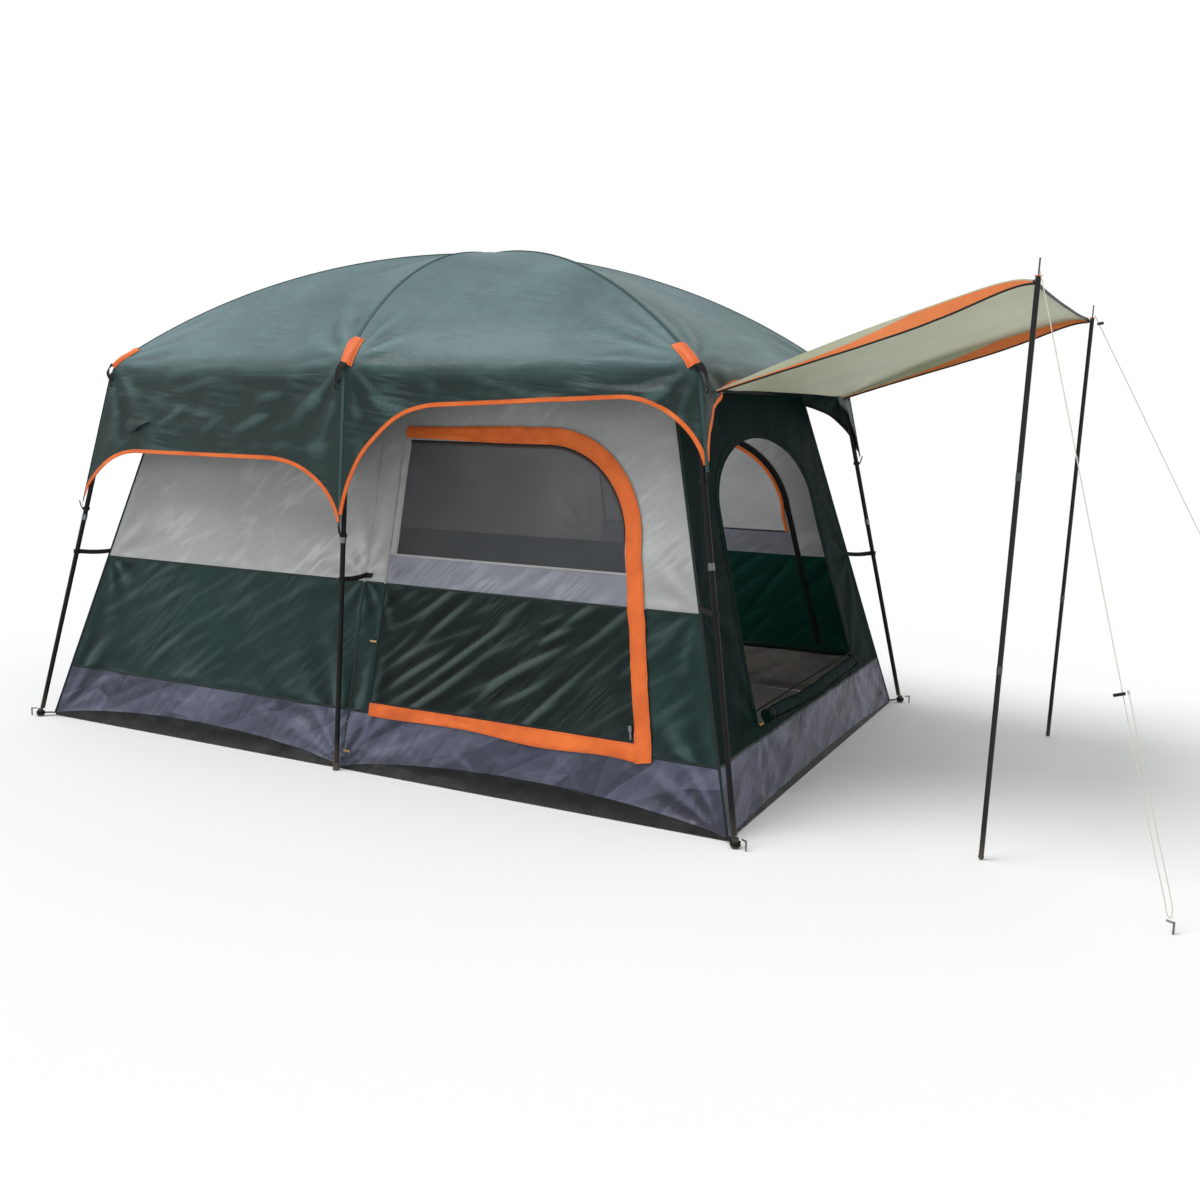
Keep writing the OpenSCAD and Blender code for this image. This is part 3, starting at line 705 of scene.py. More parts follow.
GREY_TAPE = tape_cloth("grey_tape", (138, 140, 139), (158, 160, 159), stitch=(112, 114, 114), pucker=0.7)
WEB = webbing("black_webbing", (5, 5, 6), (18, 18, 20))
STEEL = metal("leg_steel", (4, 4, 5), (12, 12, 13), rough=0.45, metallic=0.0, paint=True)
FERRULE = metal("ferrule_metal", (92, 94, 98), (136, 138, 142), rough=0.36)
PLASTIC = plastic("black_plastic", (6, 6, 7), (16, 16, 17))
TOGGLE = plastic("tan_toggle", (166, 130, 72), (196, 160, 96), 0.45)
RODS = metal("fibreglass", (10, 12, 14), (24, 26, 28), rough=0.38, metallic=0.0)
CORD = cord_cloth("pale_cord", (170, 166, 154), (228, 224, 214))
ELASTIC = cord_cloth("black_elastic", (6, 6, 7), (24, 24, 26))


def dress(node, mat):
    """A CAD part that keeps its shape gets its finished material."""
    o = NODE[node]
    if not o.material_slots:
        o.data.materials.append(mat)
    for s in o.material_slots:
        s.material = mat


for finish, names in (
    (STEEL, [n for n in NODE if n.startswith("leg_") and n != "leg_ferrules"]),
    (FERRULE, ["leg_ferrules", "corner_pegs", "guyline_pegs", "front_zip_slider", "back_zip_slider"]),
    (PLASTIC, ["foot_caps", "eave_hubs", "front_tensioner", "back_tensioner"]),
    (RODS, ["roof_pole_rising", "roof_pole_falling", "roof_pole_cross"]),
):
    for name in names:
        dress(name, finish)
POLE_FOOT, POLE_TOP = 0.009, 1.748
pole_len = math.hypot(0.045, POLE_TOP - POLE_FOOT)
for side_name in ("front", "back"):
    dress(side_name + "_awning_pole", pole_metal(side_name + "_pole_metal", POLE_FOOT, POLE_TOP, pole_len))

# ------------------------------------------------------------------ guylines
FRONT_ROUTE = [
    (2350, -826, 1762), (2373, -840, 1680), (2420, -868, 1510), (2470, -898, 1330),
    (2520, -928, 1150), (2570, -958, 970), (2620, -988, 790), (2664, -1014, 632),
    (2700, -1036, 500), (2740, -1060, 360), (2780, -1084, 220), (2818, -1107, 90),
    (2828, -1113, 52), (2836, -1113, 41), (2841, -1108, 52), (2834, -1098, 90),
    (2790, -1070, 240), (2742, -1041, 408), (2699, -1015, 560), (2683, -1005, 616),
]
BACK_ROUTE = [
    (2352, 827, 1762), (2387, 856, 1693), (2440, 899, 1589), (2529, 972, 1415),
    (2617, 1044, 1241), (2705, 1116, 1067), (2794, 1189, 893), (2882, 1261, 719),
    (2970, 1333, 546), (3058, 1405, 373), (3147, 1478, 200), (3223, 1540, 50),
]
GUY_D = 3 * MM


def knot(name, at, along_dir, body):
    """A small overhand knot: a short coil of the same cord round itself."""
    u = Vector(along_dir).normalized()
    a = u.orthogonal().normalized()
    b = u.cross(a)
    pts = []
    for k in range(34):
        t = k / 33
        w = TAU * 2.3 * t
        pts.append(Vector(at) + u * ((t - 0.5) * 9 * MM) + (a * math.cos(w) + b * math.sin(w)) * 3.1 * MM)
    g = Build()
    g.sweep([tuple(p) for p in pts], disc(1.5 * MM, 8), mat=0)
    return g.piece(name, [CORD], body, "pale_cord")


def guyline(name, route, node):
    path = spline(np.array(route) * MM, 4)
    g = Build()
    g.sweep(path, disc(GUY_D / 2, 8))
    o = g.piece(name, [CORD], None, "pale_cord", [node])
    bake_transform(o)
    round(float(along(path)[-1]), 3)


front_knot = knot("front_guyline_knot", (2.683, -1.005, 0.6165), (-0.26, 0.16, 0.95), "tent")
back_knot = knot("back_guyline_knot", (3.2245, 1.5405, 0.052), (0.45, 0.37, -0.81), "tent")
guyline(
    "front_guyline_cord", FRONT_ROUTE, "front_guyline",
)
guyline(
    "back_guyline_cord", BACK_ROUTE, "back_guyline",
)

# ------------------------------------------------------------------ tent shape, as in the CAD model
CABIN_X, CABIN_Y, SLOPE_X, SLOPE_Y, WALL_TOP, SEAM_Z, SKIRT_Z = 1.56, 1.06, 0.27, 0.243, 1.42, 0.69, 0.219
SIDE_T, END_T = math.atan(SLOPE_Y), math.atan(SLOPE_X)
HUB_Z, EAVE, TOP, FLY_OFF, BAY = 1.475, 1.5, 2.0, 0.027, 1.45
FEET = np.array(
    [(-1.6, -1.1, 0), (0, -1.08, 0), (1.6, -1.1, 0), (1.6, 1.1, 0), (0, 1.08, 0), (-1.6, 1.1, 0)]
)
HUBS = FEET - np.array(
    [(np.sign(x) * 0.284, np.sign(y) * (0.241 if x else 0.110), -HUB_Z) for x, y, _ in FEET]
)
OUT = HUBS * (1, 1, 0) / np.hypot(HUBS[:, 0], HUBS[:, 1])[:, None]
EAVE_PT = FEET + (HUBS - FEET) * (EAVE / HUB_Z) + OUT * FLY_OFF
RUN = np.hypot(EAVE_PT[:, 0], EAVE_PT[:, 1])
ARC_R = (RUN**2 + (TOP - EAVE) ** 2) / (2 * (TOP - EAVE))
ARC_A = np.arcsin(RUN / ARC_R)
ARC_L = ARC_R * ARC_A
SPLIT = 0.034
SCALLOPS = [
    (1.150, 1.150, 0.910, 0.890, 0.2, 0.27), (1.340, 1.410, 0.890, 1.140, 0.28, 0.22),
    (1.455, 1.455, 1.140, 1.140, 0.2, 0.2), (1.410, 1.340, 1.140, 0.890, 0.22, 0.28),
    (1.150, 1.150, 0.890, 0.910, 0.27, 0.2), (1.455, 1.455, 0.910, 0.910, 0.2, 0.2),
]


def leg_at(i, z):
    return FEET[i] + (HUBS[i] - FEET[i]) * np.asarray(z)[..., None] / HUB_Z


def fly_raw(w, a):
    """Points of the fly: w counts legs round the tent, a is metres below the eave along the cloth."""
    w = np.mod(w, 6)
    i = np.floor(w).astype(int) % 6
    s = (w - np.floor(w))[:, None]
    pts = []
    length = ARC_L[i] * (1 - s[:, 0]) + ARC_L[(i + 1) % 6] * s[:, 0]
    for k in (i, (i + 1) % 6):
        t = np.clip(-a / length, 0, 1)
        ang = (1 - t) * ARC_A[k]
        roof = OUT[k] * (ARC_R[k] * np.sin(ang))[:, None]
        roof[:, 2] = TOP - ARC_R[k] + ARC_R[k] * np.cos(ang)
        low = FEET[k] + (HUBS[k] - FEET[k]) * (
            (EAVE - np.maximum(a, 0)) / HUB_Z
        )[:, None] + OUT[k] * FLY_OFF
        pts.append(np.where((a < 0)[:, None], roof, low))
    return pts[0] * (1 - s) + pts[1] * s


def fly_soft(w, a):
    """The same cloth with a rounded eave and softly creased leg lines."""
    ease = np.clip(np.minimum((a + 0.30) / 0.2, (0.30 - a) / 0.2), 0, 1)
    total = 0
    for dw, kw in ((-0.012, 0.25), (0, 0.5), (0.012, 0.25)):
        for da, ka in ((-0.05, 0.12), (-0.028, 0.22), (0, 0.32), (0.028, 0.22), (0.05, 0.12)):
            total = total + kw * ka * fly_raw(w + dw, a + da * ease)
    return total


def fly_depth(w, a):
    """How far the cloth stands out of, or sags into, its smooth shape."""
    s = np.mod(w, 1)
    bay = np.floor(np.mod(w, 6))
    mid = np.sin(math.pi * s)
    x, y = w * BAY, -a
    i = bay.astype(int) % 6
    length = ARC_L[i] * (1 - s) + ARC_L[(i + 1) % 6] * s
    up_roof = np.clip(-a / length, 0, 1)
    held = 1 - bell(mid, 0, 0.16)
    d = -0.020 * mid * np.sin(math.pi * np.clip(up_roof, 0, 1)) ** 0.8
    d -= 0.008 * mid * bell(a, -0.02, 0.16)
    drape = bell(a, 0.10, 0.15)
    d += 0.0130 * held * drape * creases(x, y, -7, 1.1, 0.075, 11.3)
    d += 0.0055 * held * bell(a, 0.05, 0.20) * creases(x, y, 9, 0.6, 0.06, 4.7)
    d += 0.0040 * held * bell(a, -0.20, 0.20) * creases(x, y, 5, 1.0, 0.10, 8.1)
    d += 0.0050 * held * bell(a, 0.24, 0.10) * creases(x, y, 24, 0.3, 0.06, 6.9)
    for k in range(6):
        dx = (np.mod(w - k + 3, 6) - 3) * BAY
        d += 0.0050 * held * fan(dx, y, (0, 0.02), 0.55, 11, 2.0 + k)
    d += held * (0.0030 * wob(x * 3.2, y * 4.5, 6.5) + 0.0012 * wob(x * 11, y * 13, 9.5))
    return d * np.clip((1 - up_roof) / 0.12, 0, 1)


def fly(w, a, lift=0.0):
    """Points and outward directions on the finished fly."""
    w, a = np.broadcast_arrays(np.asarray(w, float), np.asarray(a, float))
    w, a = w.ravel().copy(), a.ravel().copy()
    p = fly_soft(w, a)
    dw = fly_soft(w + 0.01, a) - fly_soft(w - 0.01, a)
    da = fly_soft(w, a + 0.01) - fly_soft(w, a - 0.01)
    n = np.cross(da, dw)
    n /= np.maximum(np.linalg.norm(n, axis=1), 1e-9)[:, None]
    return p + n * (fly_depth(w, a) + lift)[:, None], n


def fly_data(w, a, f):
    """Fold height of points on the fly, and how much painted shade darkens them below the eave, for its cloth."""
    w, a = np.broadcast_arrays(np.asarray(w, float), np.asarray(a, float))
    return {
        "fold": np.clip(crest(fly_depth(w, a), f) / FLY_FOLD, -1, 1),
        "tone": np.clip((a + 0.07) / 0.13, 0, 1) ** 0.8
    }


def dip(q):
    return 1 - np.sqrt(1 - np.clip(q, 0, 1) ** 2)


def scallop(bay, s):
    """How far below the eave the valance's edge lies: level in the middle, a quarter oval at each leg."""
    za, zb, tip_a, tip_b, wa, wb = SCALLOPS[bay]
    return EAVE - (
        za + (zb - za) * s - (za - tip_a) * dip(1 - s / wa) - (zb - tip_b) * dip(1 - (1 - s) / wb)
    )


# ------------------------------------------------------------------ fly: dome, valance, seams, bindings
BAYS = ("front_left", "front_right", "right_end", "back_right", "back_left", "left_end")
PER = 56
bay_s = np.arange(PER) / PER
bay_s = bay_s - 0.75 * np.sin(TAU * bay_s) / (TAU)
w_all = np.concatenate([b + bay_s for b in range(6)])
near_rows = np.arange(SPLIT, -0.30, -0.018)
roof_rows = 30
len_w = np.interp(np.mod(w_all, 6), np.arange(7), np.append(ARC_L, ARC_L[0]))
grid_a = [np.full_like(w_all, a) for a in near_rows]
grid_a += [near_rows[-1] - (len_w * 0.985 + near_rows[-1]) * k / roof_rows for k in range(1, roof_rows + 1)]
n_rows, n_col = len(grid_a), len(w_all)
flat_w, flat_a = np.tile(w_all, n_rows), np.concatenate(grid_a)
pts, _ = fly(flat_w, flat_a)
quads = grid(n_rows - 1, n_col, True)
crown = len(pts)
pts = np.vstack([pts, [(0, 0, TOP)]])
quads += [((n_rows - 1) * n_col + c, (n_rows - 1) * n_col + (c + 1) % n_col, crown) for c in range(n_col)]
g = Build()
g.sheet(pts, quads, **fly_data(np.append(flat_w, 0), np.append(flat_a, -ARC_L[0]), quads))
fly_roof = g.piece("fly_roof", [FLY], "tent", "fly_cloth", ["gore_" + bay for bay in BAYS])

LOW_ROWS = 20
low = np.concatenate([scallop(b, bay_s) for b in range(6)])
flat_w = np.tile(w_all, LOW_ROWS + 1)
flat_a = np.concatenate([SPLIT + (low - SPLIT) * k / LOW_ROWS for k in range(LOW_ROWS + 1)])
pts, _ = fly(flat_w, flat_a)
quads = grid(LOW_ROWS, n_col, True, True)
g = Build()
g.sheet(pts, quads, **fly_data(flat_w, flat_a, quads))
# small folded guy-out flaps near the left legs
FLAP = np.linspace(0, 1, 9)
for wa, wb in ((0.13, 0.235), (4.87, 4.765)):
    for up_side in (0, 1):
        v = []
        for q in np.arange(5) / 4:
            ww = wa + (wb - wa) * (0.10 + 0.90 * FLAP * (1 - 0.55 * q))
            p3, n3 = fly(ww, 0.215 + 0.014 * FLAP + q * (0.060 - 0.02 * FLAP))
            v.append(p3 + n3 * (0.003 + 0.016 * math.sin(math.pi * q * 0.8) - 0.003 * up_side))
        # the flaps take the full painted shade of the valance
        g.sheet(np.concatenate(v), grid(4, 9, down=wb > wa), tone=np.ones(45))
fly_valance = g.piece("fly_valance", [VALANCE], "tent", "valance_cloth", ["valance_" + bay for bay in BAYS])

g = Build()
for k in range(6):
    roof, hang = np.linspace(-0.02, -ARC_L[k] * 0.97, 60), np.linspace(
        0.03, scallop(k, np.array([0.0]))[0] - 0.02, 30
    )
    for a, wide in ((roof, 15 * MM), (hang, 13 * MM)):
        p, n = fly(np.full_like(a, k), a, SEWN)
        g.sweep(p, strap(wide, 1.6 * MM), n)
g.sweep(
    [(0.045 * math.cos(t), 0.045 * math.sin(t), TOP + 0.8 * MM) for t in round_(48)],
    strap(10 * MM, 1.6 * MM), (0, 0, 1), closed=True
)
g.piece("fly_seams", [FLY_TAPE], "tent", "fly_cloth")

g = Build()
BIND = [
    (-8, 0), (-7.4, 1.9), (-3, 2.5), (3, 2.5), (7.4, 1.9), (8, 0), (7.4, -1.9), (3, -2.5), (-3, -2.5),
    (-7.4, -1.9)
]
BIND = [(a * MM, b * MM) for a, b in BIND]
for b in range(6):
    s = np.linspace(0.0, 1.0, 121)
    s = 0.003 + 0.994 * (s - 0.85 * np.sin(TAU * s) / (TAU))
    p, n = fly(b + s, scallop(b, s))
    # painted shade: round the back-right leg the binding turns to dark tape, standing in for the orange binding in
    # shade
    first, last = {2: (0, 56), 3: (40, 120)}.get(b, (0, 120))
    g.sweep(p[first : last + 1], BIND, n[first : last + 1])
    if first:
        g.sweep(p[: first + 1], BIND, n[: first + 1], 1)
    if last < 120:
        g.sweep(p[last:], BIND, n[last:], 1)
g.piece("fly_binding", [ORANGE, DARK_TAPE], "tent", "orange_cloth")

def band_round(g, at, d, e, r, n, wide, thick, mat=0, r2=None):
    """A closed loop of strap round a point, in the plane of d and e."""
    turn = [(math.cos(t), math.sin(t)) for t in round_(n)]
    ring = [at + d * (r * a) + e * ((r2 or r) * b) for a, b in turn]
    g.sweep(ring, strap(wide, thick), [d * a + e * b for a, b in turn], mat, closed=True)


# pole pockets at the hubs, with the elastic that hooks on under each
pockets, elastics = Build(), Build()
POCKET = 0.125
for k in range(6):
    turn, size = 1 if k in (1, 3, 5) else -1, 1 if k in (1, 4) else 1.15
    rows, cols = 14, 13
    v = []
    for r in range(rows):
        q = r / (rows - 1)
        half = (0.036 - 0.012 * q) * size
        c = np.linspace(-1, 1, cols)
        p, n = fly(
            k + c * half / BAY + turn * 0.004 * q, np.full(cols, POCKET * q - POCKET) + 0.008 * np.abs(c)
        )
        hump = (1 - np.abs(c) ** 3) * (0.006 + 0.006 * q) + 0.0015 + 0.0015 * wob(
            c * 2.5, np.full(cols, q * 4.0), 3.0 + k
        )
        v.append(p + n * hump[:, None])
    v = np.concatenate(v)
    pockets.sheet(v, grid(rows - 1, cols, down=True), t=1.6 * MM)
    q = np.linspace(0, 1, rows)
    for c in (-1, 1):
        p, n = fly(
            k + c * (0.036 - 0.012 * q) * size / BAY + turn * 0.004 * q, POCKET * q - POCKET + 0.008,
            2.2 * MM
        )
        pockets.sweep(p, strap(7 * MM, 1.8 * MM), n)
    q = np.linspace(0, 1, 16)
    p, n = fly(k - turn * 0.024 * q**1.3, -0.004 + 0.072 * q, 0)
    p = p + n * (0.012 - 0.008 * q + 0.010 * np.sin(math.pi * q))[:, None]
    elastics.sweep(p, strap(34 * MM, 4.0 * MM), n, widths=1.0 - 0.62 * q)
    hook = [
        p[-1] + n[-1] * 0.006 * math.sin(t) + np.array([0, 0, -0.012 * (1 - math.cos(t))])
        for t in np.linspace(0, math.pi * 1.3, 12)
    ]
    elastics.sweep(hook, disc(2.2 * MM, 8))
    # elastic loop from the valance's tip round the leg
    tip = EAVE - scallop(k, np.array([0.0]))[0]
    c0 = leg_at(k, tip - 0.012)
    d = OUT[k]
    e = np.array([-d[1], d[0], 0])
    band_round(elastics, c0, d, e, 12.5 * MM, 24, 14 * MM, 2.0 * MM)
    elastics.sweep(
        [
            c0 + d * 0.014 + np.array([0, 0, -0.004]), c0 + d * 0.022 + np.array([0, 0, 0.014]),
            c0 + d * 0.0265 + np.array([0, 0, 0.034])
        ],
        strap(10 * MM, 2 * MM), d
    )
pockets.piece("pole_pockets", [ORANGE_CLOTH], "tent", "orange_cloth", ["fly_pole_tabs"])
elastics.piece("fly_elastics", [WEB], "tent", "black_webbing")


# ------------------------------------------------------------------ cabin walls
def half_x(z):
    return CABIN_X - SLOPE_X * np.asarray(z)


def half_y(z):
    return CABIN_Y - SLOPE_Y * np.asarray(z)


def side(p, d, s):
    """Places flat (x, height) points on a side wall, d outward; s is -1 at the front, 1 at the back."""
    x, z = p[:, 0], p[:, 1]
    return np.column_stack(
        [x, s * (CABIN_Y - SLOPE_Y * z + d * math.cos(SIDE_T)), z + d * math.sin(SIDE_T)]
    )


def end(p, d, s):
    """Places flat (y, height) points on an end wall; s is 1 at the right, -1 at the left."""
    y, z = p[:, 0], p[:, 1]
    return np.column_stack([s * (CABIN_X - SLOPE_X * z + d * math.cos(END_T)), y, z + d * math.sin(END_T)])


def ramp(x, a, b):
    t = np.clip((x - a) / (b - a), 0, 1)
    return t * t * (3 - 2 * t)


def side_depth(p, s):
    x, z = p[:, 0], p[:, 1]
    k = 0.0 if s < 0 else 17.0
    low = ramp(z, 0.19, 0.30) * ramp(z, 0.75, 0.66)
    bay = np.where(x < 0, (x + 1.5) / 1.5, x / 1.25)
    strong = np.where(x < 0, 0.15 + 0.65 * bell(bay, 0.42, 0.30), 0.2 + 1.2 * bell(bay, 0.50, 0.36))
    d = 0.0100 * low * strong * creases(x, z, 38, 0.85, 0.058, 3.1 + k)
    d += 0.0040 * low * strong * creases(x, z, 31, 0.50, 0.042, 13.1 + k)
    up_ = ramp(z, 0.66, 0.78)
    d += 0.0042 * up_ * bell(z, 0.74, 0.11) * creases(x, z, 34, 0.30, 0.05, 23.1 + k)
    d += 0.0012 * up_ * creases(x, z, 62, 0.6, 0.16, 29.1 + k)
    skirt = ramp(z, 0.26, 0.19)
    d -= 0.0110 * skirt * facets(x, z, 0.34, 0.13, 22, 31.7 + k)
    d -= 0.0040 * skirt * facets(x, z, 0.16, 0.10, -40, 33.7 + k)
    d += 0.0040 * skirt * creases(x, z, 20, 0.40, 0.060, 34.7 + k)
    d += 0.0030 * skirt * creases(x, z, -36, 0.30, 0.055, 37.9 + k)
    for at in ((-1.54, 0.02), (0.0, 0.02), (1.54, 0.02)):
        d += 0.0075 * fan(x, z, at, 0.66, 13, at[0] + 41 + k)
    for at in ((-1.37, 0.71), (0.0, 0.71), (1.37, 0.71)):
        d += 0.0030 * fan(x, z, at, 0.40, 9, at[0] + 47 + k)
    d += 0.0045 * wob(x * 1.6, z * 2.2, 51 + k) - 0.004 * np.sin(math.pi * np.clip(bay, 0, 1))
    d *= ramp(half_x(z) - np.abs(x), 0.0, 0.10) * ramp(z, 0.0, 0.05)
    d *= 1 - bell(x, DOOR_X, 0.028)
    d -= 0.004 * bell(x, 0, 0.05) * ramp(z, 0.6, 0.3)
    return np.where(d > 0, d * (1 - 0.85 * bell(x, 0, 0.045) * ramp(z, 0.75, 0.4)), d)


def end_depth(p, s):
    y, z = p[:, 0], p[:, 1]
    k = 60.0 if s > 0 else 80.0
    d = 0.0034 * ramp(z, 0.2, 0.35) * creases(y, z, 72, 0.9, 0.13, 3.1 + k)
    d += 0.0040 * wob(y * 1.8, z * 2.0, 5.1 + k)
    skirt = ramp(z, 0.27, 0.19)
    d -= 0.0100 * skirt * facets(y, z, 0.32, 0.12, 30, 7.7 + k)
    d += 0.0030 * skirt * creases(y, z, 40, 0.36, 0.060, 9.9 + k)
    d += 0.0025 * skirt * creases(y, z, -28, 0.30, 0.055, 11.9 + k)
    for at in ((-1.04, 0.02), (1.04, 0.02), (-0.60, 0.27), (0.60, 0.27)):
        d += 0.0032 * fan(y, z, at, 0.50, 8, at[0] + 3 + k)
    for at in ((-0.885, 0.71), (0.885, 0.71)):
        d += 0.0030 * fan(y, z, at, 0.40, 9, at[0] + 9 + k)
    return d * ramp(half_y(z) - np.abs(y), 0.0, 0.09) * ramp(z, 0.0, 0.05)


MID = 1.5 * MM


def wall(g, on, outer, holes=(), cell=16 * MM, mat=0, lift=0.0, t=CLOTH_T, back=None):
    """Cuts a panel and lays it on a wall; on holds how the wall places points, its folds and its side."""
    put, depth, s = on
    v, f = trim(outer, holes, cell)
    flip = (put is side and s > 0) or (put is end and s < 0)
    if flip:
        f = [q[::-1] for q in f]
    d = depth(v, s)
    g.sheet(put(v, MID + lift + d, s), f, mat, t, back, fold=np.clip(crest(d, f) / WALL_FOLD, -1, 1))


def out_dir(put, s):
    if put is side:
        return np.array([0, s * math.cos(SIDE_T), math.sin(SIDE_T)])
    return np.array([s * math.cos(END_T), 0, math.sin(END_T)])


def strip(g, on, line, width, lift, h=1.4 * MM, step=14 * MM, mat=0):
    """A sewn strip along a line on a wall."""
    put, depth, s = on
    line = resample(line, step)
    g.sweep(put(line, MID + lift + depth(line, s), s), strap(width, h), out_dir(put, s), mat)


DOOR_X, DOOR_W, DOOR_Z0, DOOR_Z1, DOOR_R, WIN_Z = 0.100, 1.006, 0.236, 1.255, 0.380, 0.800
BEND_Z = DOOR_Z1 - DOOR_R
WALL_Z0, FRAME_Z, SILL_TOP, ZIP_FOOT, ROLL_HALF = 0.22, 0.234, 0.262, 0.262, 0.596
ARC = np.radians(np.arange(0, 91, 6))


def door_edge(z):
    return DOOR_X + DOOR_W + (BEND_Z - z) * 0.197


def door_corner(g_):
    """Rounded top corner of a door, from its slanted edge to its top edge, grown by g_."""
    r = DOOR_R + g_
    return [(DOOR_X + DOOR_W - DOOR_R + r * math.cos(t), BEND_Z + r * math.sin(t)) for t in ARC]


def door_run(foot, bend, inset, corner, end_x):
    """A line up a door's slanted edge, round its corner and along its top, set in from the edge."""
    return [
        (door_edge(foot) - inset, foot), (door_edge(BEND_Z) - inset, bend), *door_corner(-corner)[1:],
        (DOOR_X + end_x, DOOR_Z1 - corner)
    ]


def wall_piece(name, mats, slot, node, on, outer, holes=(), **kw):
    """A panel of a wall as a piece of its own."""
    g = Build()
    wall(g, on, outer, holes, **kw)
    o = g.piece(name, mats, "tent", slot, [node])


for s, word in ((-1, "front"), (1, "back")):
    on = side, side_depth, s
    edge = lambda z: float(half_x(z)) - 2 * MM
    left, right_ = word + "_left_wall", word + "_right_wall"
    wall_piece(
        word + "_left_upper", [GREY], "grey_cloth", left, on,
        [(-edge(SEAM_Z), SEAM_Z), (-1 * MM, SEAM_Z), (-1 * MM, WALL_TOP), (-edge(WALL_TOP), WALL_TOP)],
        cell=20 * MM
    )
    wall_piece(
        word + "_left_lower", [WALL_GREEN, INNER_GREEN_LIT], "green_cloth", left, on,
        [(-edge(WALL_Z0), WALL_Z0), (-1 * MM, WALL_Z0), (-1 * MM, SEAM_Z), (-edge(SEAM_Z), SEAM_Z)], cell=13 * MM,
        back=1
    )
    hinge = DOOR_X - 0.5 * MM
    out_edge = lambda z: door_edge(z) + 2 * MM
    wall_piece(
        word + "_right_lower", [WALL_GREEN, INNER_GREEN_LIT], "green_cloth", right_, on,
        [
            (1 * MM, WALL_Z0), (edge(WALL_Z0), WALL_Z0), (edge(SEAM_Z), SEAM_Z), (out_edge(SEAM_Z), SEAM_Z),
            (out_edge(FRAME_Z), FRAME_Z), (hinge, FRAME_Z), (hinge, SEAM_Z), (1 * MM, SEAM_Z)
        ],
        cell=13 * MM, back=1
    )
    wall_piece(
        word + "_right_upper", [GREY], "grey_cloth", right_, on,
        [
            (1 * MM, SEAM_Z), (hinge, SEAM_Z), (hinge, DOOR_Z1 + 2 * MM), *reversed(door_corner(2 * MM)),
            (out_edge(SEAM_Z), SEAM_Z), (edge(SEAM_Z), SEAM_Z), (edge(WALL_TOP), WALL_TOP),
            (1 * MM, WALL_TOP)
        ],
        cell=20 * MM
    )

DOORWAY = [(-0.610, SILL_TOP), (0.610, SILL_TOP)] + [
    (0.530 * math.cos(t), 0.990 + 0.265 * math.sin(t)) for t in np.radians(np.arange(0, 181, 6))
]
for s, word in ((1, "right"), (-1, "left")):
    edge = lambda z: float(half_y(z)) - 2 * MM
    wall_piece(
        word + "_end_cloth", [END_GREEN_SHADED], "green_cloth", word + "_end_wall", (end, end_depth, s),
        [(-edge(WALL_Z0), WALL_Z0), (edge(WALL_Z0), WALL_Z0), (edge(WALL_TOP), WALL_TOP), (-edge(WALL_TOP), WALL_TOP)],
        [DOORWAY] if s > 0 else [], cell=20 * MM
    )


def tub(x, half, bays, rise):
    """Height of the seam between skirt and black groundsheet edge, which lifts between the feet."""
    s = (x + half) / (2 * half) * bays
    return 0.008 + rise * np.abs(np.sin(math.pi * s)) ** 0.7


band = Build()
AROUND = (
    ("front", (side, side_depth, -1), half_x, 2, 0.068), ("back", (side, side_depth, 1), half_x, 2, 0.068),
    ("right", (end, end_depth, 1), half_y, 1, 0.022), ("left", (end, end_depth, -1), half_y, 1, 0.030),
)
for word, on, half, bays, rise in AROUND:
    h0 = float(half(0.008)) - 2 * MM
    x = np.linspace(-h0, h0, 61)
    curve = [(a, float(tub(a, h0, bays, rise))) for a in x]
    h1 = float(half(SKIRT_Z)) - 2 * MM
    wall_piece(
        word + "_skirt", [SKIRT, INNER_FLOOR], "skirt_grey", "skirt_" + word, on,
        [*curve, (h1, SKIRT_Z), (-h1, SKIRT_Z)], cell=12 * MM, back=1
    )
    wall(band, on, [*curve, *((a, 0.003) for a in x[::-1])], cell=15 * MM, lift=0.4 * MM, back=1)
band.piece("groundsheet_edge", [FLOOR, INNER_FLOOR], "tent", "groundsheet_black")

# inside the tent: the dark tape where the walls meet the raised edge of the floor
g = Build()
for _, on, half, *_ in AROUND:
    h = float(half(SKIRT_Z)) - 8 * MM
    strip(g, on, [(-h, SKIRT_Z), (h, SKIRT_Z)], 15 * MM, -2.4 * MM, 1.6 * MM)
g.piece("inner_seam_tape", [DARK_TAPE], "tent", "black_webbing")

# seams of the cabin: colour seams, skirt seam, the middle and door-edge seams below the colour seam, and the corners
g = Build()
for s in (-1, 1):
    on = side, side_depth, s
    for x0, x1 in (
        (-float(half_x(SEAM_Z)), 0.0), (0.0, DOOR_X - 6 * MM),
        (door_edge(SEAM_Z) + 34 * MM, float(half_x(SEAM_Z)))
    ):
        strip(g, on, [(x0, SEAM_Z), (x1, SEAM_Z)], 9 * MM, SEWN)
    for wall_on, half in ((on, half_x), ((end, end_depth, s), half_y)):
        h = float(half(SKIRT_Z))
        strip(g, wall_on, [(-h, SKIRT_Z), (h, SKIRT_Z)], 10 * MM, SEWN)
    strip(g, on, [(0, 0.03), (0, SEAM_Z)], 12 * MM, SEWN)
    strip(g, on, [(DOOR_X + 1.5 * MM, DOOR_Z0), (DOOR_X + 1.5 * MM, SEAM_Z)], 11 * MM, -2.2 * MM)
    for e in (-1, 1):
        z = np.linspace(0.01, WALL_TOP, 60)
        corner = np.column_stack([e * (half_x(z) + 1 * MM), s * (half_y(z) + 1 * MM), z])
        g.sweep(corner, disc(5 * MM, 8), (e * 0.7, s * 0.7, 0.1))
g.piece("cabin_seams", [GREEN_TAPE], "tent", "green_cloth")
g = Build()
